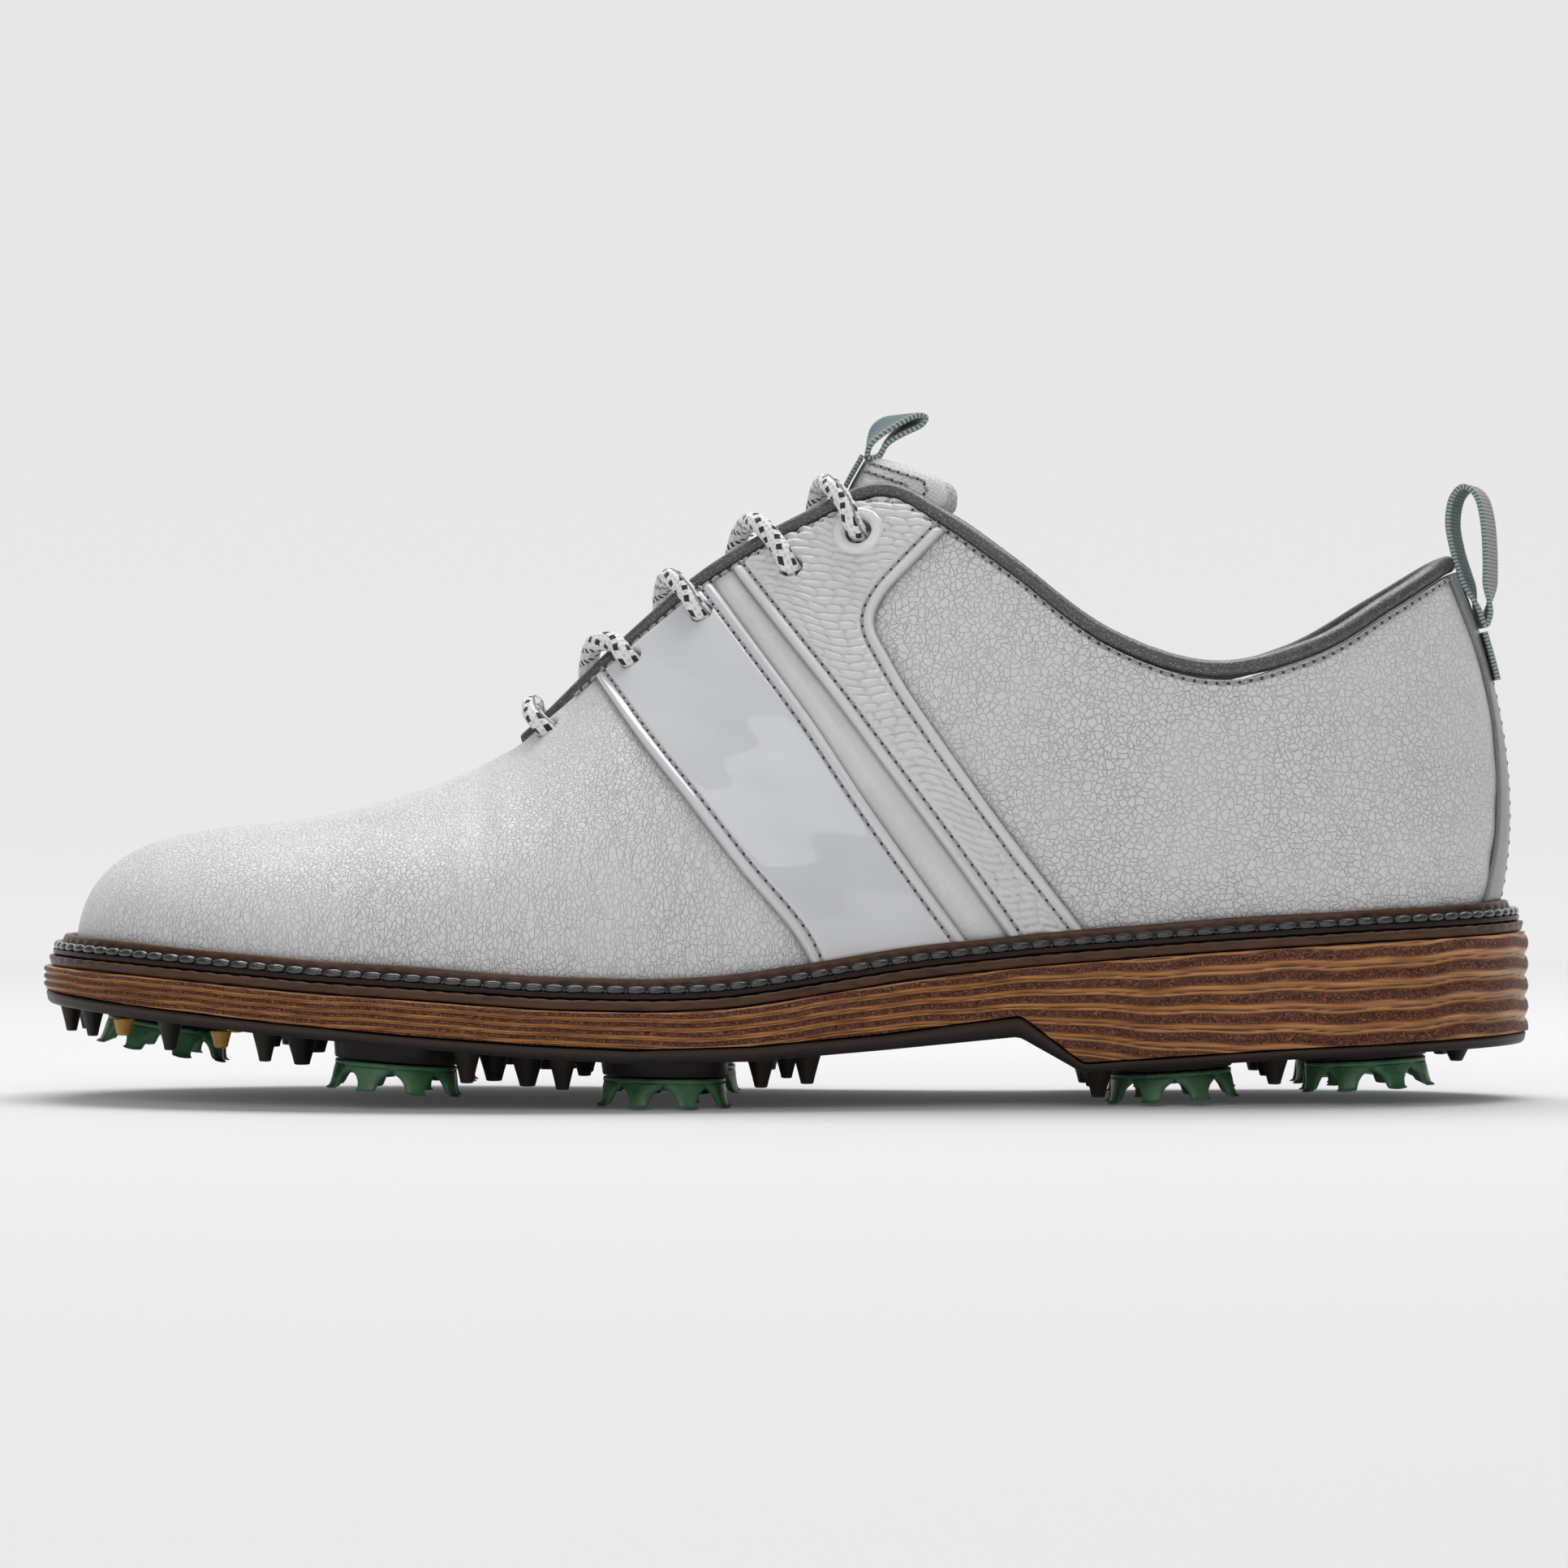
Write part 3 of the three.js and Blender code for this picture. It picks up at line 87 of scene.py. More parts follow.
MEDIAL = [
    LATERAL[0],
    [-141.0, 16.5, -101, 4.0, 55.5, -0.5, 18.0, 24, 1.5],
    [-134.0, 27.5, -97, 4.0, 56.2, 0.5, 18.0, 21, 1.6],
    [-121.0, 36.5, -90, 3.8, 57.6, 1.0, 18.0, 20, 2.2],
    [-101.0, 43.0, -79, 3.2, 60.5, 1.5, 19.0, 20, 2.3],
    [-78.0, 45.0, -65, 2.0, 65.3, 2.0, 22.0, 20, 2.8],
    [-56.0, 43.5, -53, 8.5, 72.5, 2.5, 26.0, 15, 5.0],
    [-34.0, 40.0, -36, 12.5, 89.0, 4.0, 30.0, 14, 11.0],
    [-10.0, 34.0, -16, 14.5, 106.3, 6.0, 33.0, 14, 17.0],
    [12.0, 29.0, 4, 16.5, 117.6, 8.0, 36.0, 13, 21.0],
    [31.0, 26.5, 19, 18.5, 123.4, 9.5, 37.0, 11, 24.0],
    [46.2, 25.5, 31, 23.0, 117.8, 10.0, 35.0, 9, 24.0],
    [58.5, 26.0, 44, 28.5, 108.5, 9.5, 29.0, 6, 22.0],
    [77.0, 27.5, 63, 32.5, 94.2, 8.0, 23.0, 3, 16.0],
    [95.0, 29.0, 84, 33.5, 87.5, 7.0, 20.0, 2, 12.0],
    [112.0, 28.5, 104.5, 30.0, 92.0, 6.0, 21.0, 2, 14.0],
    [127.0, 23.5, 120, 21.0, 101.0, 6.0, 22.0, 4, 16.0],
    [138.5, 13.5, 130.5, 11.0, 107.6, 6.0, 23.0, 7, 19.0],
    LATERAL[18],
]
ROWS = np.array(LATERAL + MEDIAL[-2:0:-1], float)

# Heights along the shoe, as x, z pairs.
WELT_TOP = [
    (-160, 33.6), (-148, 33.3), (-130, 32.2), (-110, 30.6), (-89, 28.9), (-73, 28.0), (-46, 26.1),
    (-24, 25.6), (-10, 26.2), (6, 28.6), (25, 31.6), (46.2, 33.8), (58.5, 34.8), (85, 36.8),
    (115, 38.6), (160, 40.6),
]
STACK_BOTTOM = [
    (-160, 23.0), (-149, 22.3), (-133, 20.5), (-100, 17.2), (-73, 14.9), (-49, 13.2), (-29, 12.2),
    (-6, 12.7), (20, 15.0), (46.2, 18.2), (58.5, 8.9), (100, 11.6), (135, 13.2), (160, 14.4),
]
SOLE_BOTTOM = [
    (-160, 20.0), (-148, 19.2), (-133, 17.6), (-100, 14.5), (-73, 12.3), (-49, 10.4), (-29, 9.3),
    (-6, 9.6), (20, 11.6), (46.2, 13.9), (58.5, 6.8), (92, 8.9), (120, 10.3), (160, 11.6),
]
# How far each layer of the sole stands out from the feather line.
LIP_OUT, GROOVE_OUT, WELT_OUT, STRIP_OUT, STACK_OUT, SOLE_OUT = 2.4, 3.6, 4.7, 5.2, 6.4, 5.9
RING_IN = -9.0

# Seams between the panels in the side view, top to bottom, as x, z pairs.
SADDLE = ((-52, 104), (-37.5, 84.4), (-28.6, 72.1), (-18.4, 59.3), (-8.5, 46.6), (2.8, 32.8), (8, 20))
STRIP = (
    (-27, 121), (-15.1, 104.4), (-5, 90.3), (5.7, 75.5), (16.3, 59.4), (26.9, 44.5), (36.7, 31),
    (43, 20),
)
EYESTAY = (
    (-21, 121), (-10.9, 106.9), (-1.4, 94.3), (9.2, 80.6), (19.8, 66.3), (32.4, 49.4), (44.4, 32.5),
    (52, 20),
)
QUARTER = (
    (46, 128), (33.4, 114.9), (25.8, 107.1), (19.9, 100.6), (17.8, 94.8), (20.5, 88.4), (26.9, 77.7),
    (40.9, 57.9), (52.8, 42.4), (59.6, 33.5), (68, 20),
)
BACKSTAY = (
    (127.5, 118), (133.6, 103.5), (137.3, 94), (140.0, 86), (141.9, 76), (142.6, 67), (142.6, 58),
    (142.0, 51), (140.2, 42), (138.2, 34), (135.2, 20),
)
SIDES = {"lateral": 1, "medial": -1}
RAISE = 0.95  # a raised panel stands this far above its neighbour


# ---------- the last surface ----------
def smooth(a, b, x):
    t = np.clip((np.asarray(x, float) - a) / (b - a), 0, 1)
    return t * t * (3 - 2 * t)


def bell(x, width):
    """1 at x = 0, falling off to both sides."""
    return np.exp(-((x / width) ** 2))


def quarter_round(d, radius):
    """Height from 0 to 1 over a rounded edge, at distance d in from it."""
    return np.sqrt(np.clip(1 - (1 - np.clip(d, 0, radius) / radius) ** 2, 0, 1))


def between(a, b, shares):
    """Rows of values from a to b, one column for each share."""
    return a[:, None] + (b - a)[:, None] * shares


def travel(line):
    """Distance travelled along a line of points, at each point."""
    return np.concatenate([[0], np.cumsum(np.linalg.norm(np.diff(line, axis=0), axis=1))])


def level(table, x, soft=5.0):
    """Height of a table at x, with its corners eased over a few millimetres."""
    xs, zs = np.array(table, float).T
    x = np.asarray(x, float)
    return sum(np.interp(x + o, xs, zs) for o in np.linspace(-soft, soft, 5)) / 5


def catmull(p0, p1, p2, p3, t):
    return 0.5 * (
        2 * p1 + (p2 - p0) * t + (2 * p0 - 5 * p1 + 4 * p2 - p3) * t**2
        + (3 * p1 - p0 - 3 * p2 + p3) * t**3
    )


def loop_rows(c):
    c = np.atleast_1d(np.asarray(c, float))
    i = np.floor(c).astype(int)
    return catmull(*(ROWS[(i + k) % LOOP] for k in (-1, 0, 1, 2)), (c - i)[:, None])


def station(c):
    r = np.mod(np.asarray(c, float), LOOP)
    return np.where(r <= LAST, r, LOOP - r)


def outward(c):
    """Outward direction of the outline."""
    d = loop_rows(c + 0.05)[:, :2] - loop_rows(c - 0.05)[:, :2]
    d /= np.linalg.norm(d, axis=1)[:, None]
    return np.stack([d[:, 1], -d[:, 0]], 1)


def profile(c):
    """The four control points of the profile at each loop coordinate."""
    c = np.atleast_1d(np.asarray(c, float))
    row = loop_rows(c)
    t = station(c)
    closed = t < RIDGE
    if closed.any():
        both = (loop_rows(t[closed]) + loop_rows(LOOP - t[closed])) / 2
        row[closed, 2:5] = both[:, 2:5]
    bx, by, tx, ty, tz, foot_out, foot_up, head_out, head_down = row.T
    nx, ny = outward(c).T
    bz = level(WELT_TOP, bx) - LIP_HEIGHT + FOOT_RISE
    foot = np.stack([bx, by, bz], 1)
    low = np.stack([bx + nx * foot_out, by + ny * foot_out, bz + foot_up], 1)
    high = np.stack([tx + nx * head_out, ty + ny * head_out, tz - head_down], 1)
    return foot, low, high, np.stack([tx, ty, tz], 1)


def last_point(c, v):
    c, v = np.broadcast_arrays(np.asarray(c, float), np.asarray(v, float))
    a, b, d, e = profile(c.ravel())
    v = v.ravel()[:, None]
    u = 1 - v
    return a * u**3 + 3 * b * u * u * v + 3 * d * u * v * v + e * v**3


def top_edge(c):
    """Where the panels stop below the top line, to leave room for the piping."""
    c = np.asarray(c, float).ravel()
    _, _, high, head = profile(c)
    trim = (2 * PIPING_RADIUS + 2 * GAP) * smooth(RIDGE, RIDGE + 0.9, station(c))
    return 1 - trim / (3 * np.linalg.norm(high - head, axis=1))


def upper_point(c, v):
    c, v = np.broadcast_arrays(np.asarray(c, float), np.asarray(v, float))
    return last_point(c.ravel(), v.ravel() * top_edge(c))


def unit(a):
    return a / np.maximum(np.linalg.norm(a, axis=-1, keepdims=True), 1e-9)


def upper_normal(c, v):
    c, v = np.broadcast_arrays(np.asarray(c, float), np.asarray(v, float))
    c, v = c.ravel(), v.ravel() * top_edge(c)

    def at(q):
        u = np.minimum(v, 0.97)
        along = last_point(q + 0.05, u) - last_point(q - 0.05, u)
        up = last_point(q, u + 0.02) - last_point(q, u - 0.02)
        return unit(np.cross(along, up))

    n = at(c)
    top = (station(c) <= RIDGE) & (v > 0.9)
    if top.any():
        other = at(np.mod(LOOP - c, LOOP))
        share = (0.5 * smooth(0.9, 1.0, v) * top)[:, None]
        n = unit(n * (1 - share) + other * share)
    return n


# ---------- seams ----------
@lru_cache(None)
def smooth_line(points, per=10):
    """A smooth line through points, as an array."""
    p = np.array(points, float)
    p = np.vstack([2 * p[0] - p[1], p, 2 * p[-1] - p[-2]])
    t = np.linspace(0, 1, per, endpoint=False)[:, None]
    parts = [catmull(p[i - 1], p[i], p[i + 1], p[i + 2], t) for i in range(1, len(p) - 2)]
    return np.vstack([*parts, p[-2:-1]])


def seam_x(seam, z):
    line = smooth_line(seam)[::-1]
    return np.interp(z, line[:, 1], line[:, 0])


def seam_station(seam, side, v):
    """Station where each height v of one side meets a seam."""
    low, high = np.full(v.shape, 0.3), np.full(v.shape, 17.9)
    for _ in range(26):
        mid = (low + high) / 2
        p = upper_point(side * mid, v)
        behind = p[:, 0] > seam_x(seam, p[:, 2])
        high = np.where(behind, mid, high)
        low = np.where(behind, low, mid)
    return (low + high) / 2


@lru_cache(None)
def seam_line(seam, side):
    """A seam as points on the surface, foot to top, with heights v and stations."""
    v = np.linspace(0, 1, 300)
    t = seam_station(seam, side, v)
    return upper_point(side * t, v), v, t


def distance(points, line):
    """Shortest distance from each point to a line of points."""
    a, d = line[:-1], np.diff(line, axis=0)
    out = np.empty(len(points))
    for start in range(0, len(points), 4000):
        p = points[start:start + 4000, None]
        f = np.clip(((p - a) * d).sum(-1) / (d * d).sum(-1), 0, 1)
        out[start:start + 4000] = np.linalg.norm(p - a - f[..., None] * d, axis=-1).min(1)
    return out


# ---------- meshes ----------
def grid_faces(rows, columns, wrap_rows=False, wrap_columns=False):
    """Quads of a grid whose rows run up and whose columns run round, facing out."""
    i = np.arange(rows if wrap_rows else rows - 1)[:, None]
    j = np.arange(columns if wrap_columns else columns - 1)[None]
    up, across = (i + 1) % rows, (j + 1) % columns
    quads = [i * columns + j, i * columns + across, up * columns + across, up * columns + j]
    return np.stack(quads, -1).reshape(-1, 4)


def build(name, vertices, faces, material, body="shoe", slot=None, replaces=(), attributes=None):
    """Makes one piece from vertices in drawing millimetres."""
    vertices = np.asarray(vertices, float).reshape(-1, 3)
    faces = [np.asarray(f, int) for f in (faces if isinstance(faces, list) else [faces])]
    mesh = bpy.data.meshes.new(name)
    mesh.vertices.add(len(vertices))
    mesh.vertices.foreach_set("co", ((vertices + SHIFT) / 1000).astype(np.float32).ravel())
    corners = np.concatenate([f.ravel() for f in faces])
    sizes = np.concatenate([np.full(len(f), f.shape[1]) for f in faces])
    mesh.loops.add(len(corners))
    mesh.loops.foreach_set("vertex_index", corners.astype(np.int32))
    mesh.polygons.add(len(sizes))
    starts = np.concatenate([[0], np.cumsum(sizes)[:-1]])
    mesh.polygons.foreach_set("loop_start", starts.astype(np.int32))
    mesh.update(calc_edges=True)
    mesh.validate()
    mesh.shade_smooth()
    for key, values in (attributes or {}).items():
        layer = mesh.attributes.new(key, "FLOAT", "POINT")
        layer.data.foreach_set("value", np.asarray(values, np.float32).ravel())
    mesh.materials.append(material)
    obj = bpy.data.objects.new(name, mesh)
    bpy.context.scene.collection.objects.link(obj)
    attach(obj, body)
    if replaces:
        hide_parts(*replaces)
    return obj


def join(parts):
    """One vertex array and face list from several (vertices, faces) pairs."""
    vertices, faces, base = [], [], 0
    for v, f in parts:
        v = np.asarray(v, float).reshape(-1, 3)
        for block in f if isinstance(f, list) else [f]:
            faces.append(np.asarray(block) + base)
        vertices.append(v)
        base += len(v)
    by_size = {}
    for f in faces:
        by_size.setdefault(f.shape[1], []).append(f)
    return np.vstack(vertices), [np.vstack(f) for f in by_size.values()]


# ---------- materials ----------
RIB_PITCH = 0.75  # of the pull loops' ribbon


class Look:
    """One procedural material. Textures work in millimetres of the piece's own space."""

    def __init__(self, name, roughness=0.5, **sockets):
        self.material = bpy.data.materials.new(name)
        self.material.use_nodes = True
        self.tree = self.material.node_tree
        self.shader = self.tree.nodes["Principled BSDF"]
        self.shader.inputs["Roughness"].default_value = roughness
        for key, value in sockets.items():
            self.shader.inputs[key.replace("_", " ")].default_value = value
        self.normal = None

    def node(self, kind, settings=None, **inputs):
        n = self.tree.nodes.new(kind)
        for key, value in (settings or {}).items():
            setattr(n, key, value)
        for key, value in inputs.items():
            self.put(n.inputs[int(key[1:]) if key[1:].isdigit() else key.replace("_", " ")], value)
        return n

    def put(self, socket, value):
        if isinstance(value, bpy.types.NodeSocket):
            self.tree.links.new(value, socket)
        else:
            socket.default_value = value

    def place(self, stretch=(1, 1, 1), turn=(0, 0, 0)):
        """Position in millimetres, stretched and turned."""
        where = self.node("ShaderNodeTexCoord").outputs["Object"]
        scale = tuple(1000 * s for s in stretch)
        return self.node("ShaderNodeMapping", Vector=where, Scale=scale, Rotation=turn).outputs[0]

    def attribute(self, name):
        return self.node("ShaderNodeAttribute", {"attribute_name": name}).outputs["Fac"]

    def noise(self, size, detail=3.0, distortion=0.0, where=None, roughness=0.5):
        n = self.node("ShaderNodeTexNoise", Vector=where or self.place(), Scale=1 / size, Detail=detail)
        n.inputs["Distortion"].default_value = distortion
        n.inputs["Roughness"].default_value = roughness
        return n.outputs[0]

    def cells(self, size, feature="F1", where=None):
        where = where or self.place()
        n = self.node("ShaderNodeTexVoronoi", {"feature": feature}, Vector=where, Scale=1 / size)
        return n.outputs["Distance"]

    def warp(self, size, amount, where=None):
        """Position pushed about by a noise, so that patterns on it wander."""
        where = where or self.place()
        n = self.node("ShaderNodeTexNoise", Vector=where, Scale=1 / size, Detail=2.0)
        push = self.node("ShaderNodeVectorMath", {"operation": "SCALE"}, _0=n.outputs["Color"], Scale=amount)
        moved = self.node("ShaderNodeVectorMath", {"operation": "ADD"}, _0=where, _1=push.outputs[0])
        return moved.outputs[0]

    def math(self, operation, a, b=0.0, clamp=False):
        settings = {"operation": operation, "use_clamp": clamp}
        return self.node("ShaderNodeMath", settings, _0=a, _1=b).outputs[0]

    def ribs(self, value, pitch):
        """A wave of the value, from 0 to 1 and back over each pitch."""
        wave = self.math("SINE", self.math("MULTIPLY", value, 2 * math.pi / pitch))
        return self.lifted(wave)

    def lifted(self, wave):
        """A wave between -1 and 1, moved to between 0 and 1."""
        return self.math("ADD", self.math("MULTIPLY", wave, 0.5), 0.5)

    def ramp(self, value, *stops):
        """Colour ramp through (place, colour) stops; a colour may be one grey number."""
        n = self.node("ShaderNodeValToRGB", Fac=value)
        ramp = n.color_ramp
        while len(ramp.elements) < len(stops):
            ramp.elements.new(0.5)
        for element, (at, colour) in zip(ramp.elements, stops):
            element.position = at
            element.color = (*colour, 1) if isinstance(colour, tuple) else (colour, colour, colour, 1)
        return n.outputs[0]

    def mix(self, share, a, b, blend="MIX"):
        n = self.node("ShaderNodeMix", {"data_type": "RGBA", "blend_type": blend})
        self.put(n.inputs["Factor"], share)
        colours = [s for s in n.inputs if s.type == "RGBA"]
        for socket, value in zip(colours, (a, b)):
            self.put(socket, (*value, 1) if isinstance(value, tuple) else value)
        return [s for s in n.outputs if s.type == "RGBA"][0]

    def bump(self, height, millimetres, strength=1.0):
        n = self.node("ShaderNodeBump", Height=height, Distance=millimetres / 1000, Strength=strength)
        if self.normal:
            self.put(n.inputs["Normal"], self.normal)
        self.normal = n.outputs["Normal"]
        self.put(self.shader.inputs["Normal"], self.normal)

    def colour(self, value):
        self.put(self.shader.inputs["Base Color"], (*value, 1) if isinstance(value, tuple) else value)

    def tones(self, value, dark, light, start=0.3, end=0.7):
        """From one colour to another as the value goes from start to end."""
        return self.mix(self.ramp(value, (start, 0.0), (end, 1.0)), dark, light)

    def shaded(self, body, groove):
        """The body colour, darkened towards the groove colour as painted shade where the piece's shade
        attribute says.
        """
        self.colour(self.mix(self.attribute("shade"), body, groove))

    def rough(self, value, low, high, start=0.3, end=0.7):
        """Roughness from low to high as the value goes from start to end."""
        self.put(self.shader.inputs["Roughness"], self.ramp(value, (start, low), (end, high)))


def white_leather(name, cell, depth, tint, shine=0.42, stretch=(1, 1, 1)):
    """Grained white leather: wandering cells, fine pores and painted shade in the creases."""
    look = Look(name, shine, Coat_Weight=0.12, Coat_Roughness=0.3)
    where = look.warp(2.6, 2.4, look.place(stretch, (0.0, 0.5, 0.0)))
    creases = look.cells(cell, "DISTANCE_TO_EDGE", where)
    grain = look.ramp(creases, (0.0, 0.0), (0.07, 0.75), (0.3, 1.0))
    patches = look.noise(16.0, 3.0)
    look.bump(look.noise(5.0, 4.0), 0.14)
    strength = look.ramp(look.noise(18.0, 2.0), (0.3, 0.6), (0.7, 1.0))
    look.bump(look.math("MULTIPLY", grain, strength), depth)
    look.bump(look.noise(0.8, 3.0), 0.5 * depth)
    look.bump(look.noise(0.35, 2.0), 0.02)
    body = look.mix(patches, tint, tuple(0.94 * k for k in tint))
    # Darker along the cell edges: painted shade in the grain's creases.
    body = look.mix(look.ramp(creases, (0.0, 0.16), (0.05, 0.0)), body, tuple(0.7 * k for k in tint))
    look.shaded(body, (0.22, 0.215, 0.21))
    look.rough(look.noise(3.0, 3.0), shine - 0.06, shine + 0.1)
    return look.material


def patent_leather():
    """Lacquered leather under a clear coat, with a slow swell."""
    coat = {"Coat_Weight": 0.7, "Coat_Roughness": 0.02, "Coat_IOR": 1.5}
    look = Look("patent_leather", 0.14, Specular_IOR_Level=0.3, **coat)
    look.bump(look.noise(12.0, 2.0), 0.12)
    look.bump(look.noise(1.1, 2.0), 0.006)
    body = look.mix(look.noise(22.0, 2.0), (0.755, 0.76, 0.775), (0.715, 0.72, 0.735))
    look.shaded(body, (0.22, 0.22, 0.22))
    look.rough(look.noise(9.0, 3.0), 0.07, 0.14, 0.3, 0.75)
    return look.material


def scale_leather():
    """Finish of the embossed panel; the scales themselves are in its mesh."""
    look = Look("scale_leather", 0.36, Coat_Weight=0.2, Coat_Roughness=0.25)
    look.bump(look.noise(0.5, 3.0), 0.03)
    body = look.mix(look.noise(9.0, 3.0), (0.79, 0.785, 0.775), (0.73, 0.725, 0.715))
    look.shaded(body, (0.15, 0.145, 0.14))
    look.rough(look.noise(2.0, 3.0), 0.30, 0.46)
    return look.material


def binding(name, dark, light):
    """Grey coated binding with fine metallic specks, their glints painted pale."""
    look = Look(name, 0.42, Metallic=0.25, Coat_Weight=0.25, Coat_Roughness=0.3)
    specks = look.cells(0.42)
    sparkle = look.ramp(specks, (0.0, 1.0), (0.16, 1.0), (0.26, 0.0))
    patches = look.noise(2.2, 3.0)
    body = look.mix(patches, dark, light)
    # Pale specks over the body colour: painted glints of the metallic flakes.
    body = look.mix(look.math("MULTIPLY", sparkle, 0.75), body, (0.62, 0.61, 0.6))
    look.shaded(body, (0.03, 0.03, 0.03))
    look.bump(look.noise(0.45, 3.0), 0.05)
    look.rough(patches, 0.34, 0.55)
    return look.material


def textile(name, light, dark, pitch, depth=0.12):
    """Knitted or woven cloth: two crossed rows of loops."""
    look = Look(name, 0.85, Sheen_Weight=0.25, Sheen_Roughness=0.5)
    place = look.place()
    split = look.node("ShaderNodeSeparateXYZ", Vector=place).outputs
    rows = look.math("SINE", look.math("MULTIPLY", split["Z"], 2 * math.pi / pitch))
    slanted = look.math("ADD", split["X"], split["Y"])
    columns = look.math("SINE", look.math("MULTIPLY", slanted, 2 * math.pi / pitch))
    height = look.lifted(look.math("MULTIPLY", rows, columns))
    look.bump(height, depth)
    look.bump(look.noise(0.3, 2.0), 0.04)
    # Darker in the hollows between the loops: painted shade.
    body = look.tones(height, dark, light, 0.1, 0.8)
    look.colour(look.mix(look.math("MULTIPLY", look.noise(8.0, 3.0), 0.35), body, dark))
    return look.material


def plain(name, light, dark, size, roughness, depth=0.08, **sockets):
    """A mottled solid: two tones, a fine grain and uneven gloss."""
    look = Look(name, roughness, **sockets)
    patches = look.noise(size, 4.0)
    look.colour(look.tones(patches, dark, light))
    look.bump(look.noise(size / 6, 3.0), depth)
    look.rough(patches, max(roughness - 0.08, 0.03), roughness + 0.08)
    return look.material


def lace_cord():
    """Braided white cord with rows of short black flecks."""
    look = Look("cord", 0.8, Sheen_Weight=0.2)
    along, around = look.attribute("along"), look.attribute("around")

    def helix(operation, per_mm, turns):
        """Stripes that wind round the cord."""
        wound = look.math("MULTIPLY", around, turns * 2 * math.pi)
        return look.math("SINE", look.math(operation, look.math("MULTIPLY", along, per_mm), wound))

    height = look.lifted(look.math("MULTIPLY", helix("ADD", 3.3, 5), helix("SUBTRACT", 3.3, 5)))
    look.bump(height, 0.22)
    look.bump(look.noise(0.25, 2.0), 0.04)
    dash = look.math("GREATER_THAN", helix("ADD", 2.6, 2), -0.05)
    lane = look.math("LESS_THAN", helix("SUBTRACT", 0.9, 4), -0.2)
    fleck = look.math("MULTIPLY", dash, lane)
    # Darker between the braid's ridges: painted shade.
    body = look.tones(height, (0.64, 0.64, 0.66), (0.92, 0.92, 0.92), 0.0, 0.5)
    look.colour(look.mix(fleck, body, (0.022, 0.02, 0.022)))
    return look.material


def grosgrain():
    """Ribbed teal ribbon with a pale woven back."""
    look = Look("ribbon", 0.72, Sheen_Weight=0.3)
    height = look.ribs(look.attribute("along"), RIB_PITCH)
    look.bump(height, 0.16)
    look.bump(look.noise(0.3, 2.0), 0.05)
    # Each face is darker between its ribs: painted shade.
    front = look.tones(height, (0.018, 0.055, 0.057), (0.075, 0.175, 0.175), 0.1, 0.7)
    back = look.tones(height, (0.11, 0.125, 0.105), (0.30, 0.32, 0.27), 0.1, 0.7)
    edge = look.tones(height, (0.10, 0.15, 0.15), (0.42, 0.50, 0.49), 0.1, 0.7)
    body = look.mix(look.attribute("inside"), front, back)
    look.colour(look.mix(look.attribute("edge"), body, edge))
    return look.material


def welt_leather():
    """Dark waxed brown leather, with a painted highlight on its top edges."""
    look = Look("welt_leather", 0.5, Coat_Weight=0.08, Coat_Roughness=0.25, Specular_IOR_Level=0.25)
    streaks = look.noise(2.4, 4.0, 0.6, look.place((0.35, 0.35, 1.6)))
    body = look.tones(streaks, (0.026, 0.010, 0.004), (0.078, 0.032, 0.013))
    # Paler on the top edges: painted highlight.
    body = look.mix(look.math("MULTIPLY", look.attribute("painted_light"), streaks, True), body, (0.13, 0.065, 0.03))
    # Painted shade in the groove under the lip.
    look.shaded(body, (0.004, 0.003, 0.002))
    look.bump(streaks, 0.22)
    look.bump(look.noise(0.45, 3.0), 0.07)
    look.rough(streaks, 0.26, 0.46)
    return look.material


def waxed_thread(name, light, dark, roughness=0.4, coat=0.3):
    look = Look(name, roughness, Coat_Weight=coat, Coat_Roughness=0.2)
    strands = look.noise(0.5, 3.0, 0.4, look.place((0.5, 0.5, 2.0)))
    look.colour(look.tones(strands, dark, light))
    look.bump(strands, 0.12)
    return look.material


def stacked_sole():
    """Smooth tan ridges with rough reddish-brown fibre between them."""
    look = Look("stack", 0.45, Coat_Weight=0.18, Coat_Roughness=0.25, Specular_IOR_Level=0.35)
    curls = look.noise(0.75, 4.0, 2.6, look.place((0.75, 0.75, 1.2)), 0.6)
    streaks = look.noise(1.5, 4.0, 0.3, look.place((0.12, 0.12, 2.2)))
    ridge = look.tones(streaks, (0.27, 0.10, 0.032), (0.64, 0.28, 0.09), 0.35, 0.65)
    deep, middle, tip = (0.035, 0.009, 0.005), (0.125, 0.034, 0.016), (0.42, 0.15, 0.06)
    fibre = look.ramp(curls, (0.40, deep), (0.5, middle), (0.60, tip))
    body = look.mix(look.attribute("band"), ridge, fibre)
    # Paler along the upper edge of each fibre band: painted highlight.
    body = look.mix(look.attribute("painted_light"), body, (0.74, 0.38, 0.14))
    # Painted shade in the dark line under each ridge and on its down-facing side.
    look.shaded(body, (0.012, 0.004, 0.002))
    look.bump(look.math("MULTIPLY", curls, look.attribute("band")), 0.8)
    look.bump(streaks, 0.15)
    gloss = look.ramp(streaks, (0.2, 0.28), (0.8, 0.46))
    gloss = look.mix(look.attribute("band"), gloss, (0.62, 0.62, 0.62))
    look.put(look.shader.inputs["Roughness"], gloss)
    return look.material


def moulded_rubber():
    look = Look("outsole_tpu", 0.5, Specular_IOR_Level=0.25)
    streaks = look.noise(6.0, 4.0)
    body = look.tones(streaks, (0.005, 0.0032, 0.0024), (0.017, 0.010, 0.0075))
    # Paler on the rim and the nub tips: painted highlight.
    look.colour(look.mix(look.math("MULTIPLY", look.attribute("painted_light"), 0.7), body, (0.055, 0.033, 0.021)))
    look.bump(look.noise(0.5, 3.0), 0.05)
    look.rough(streaks, 0.34, 0.5)
    return look.material


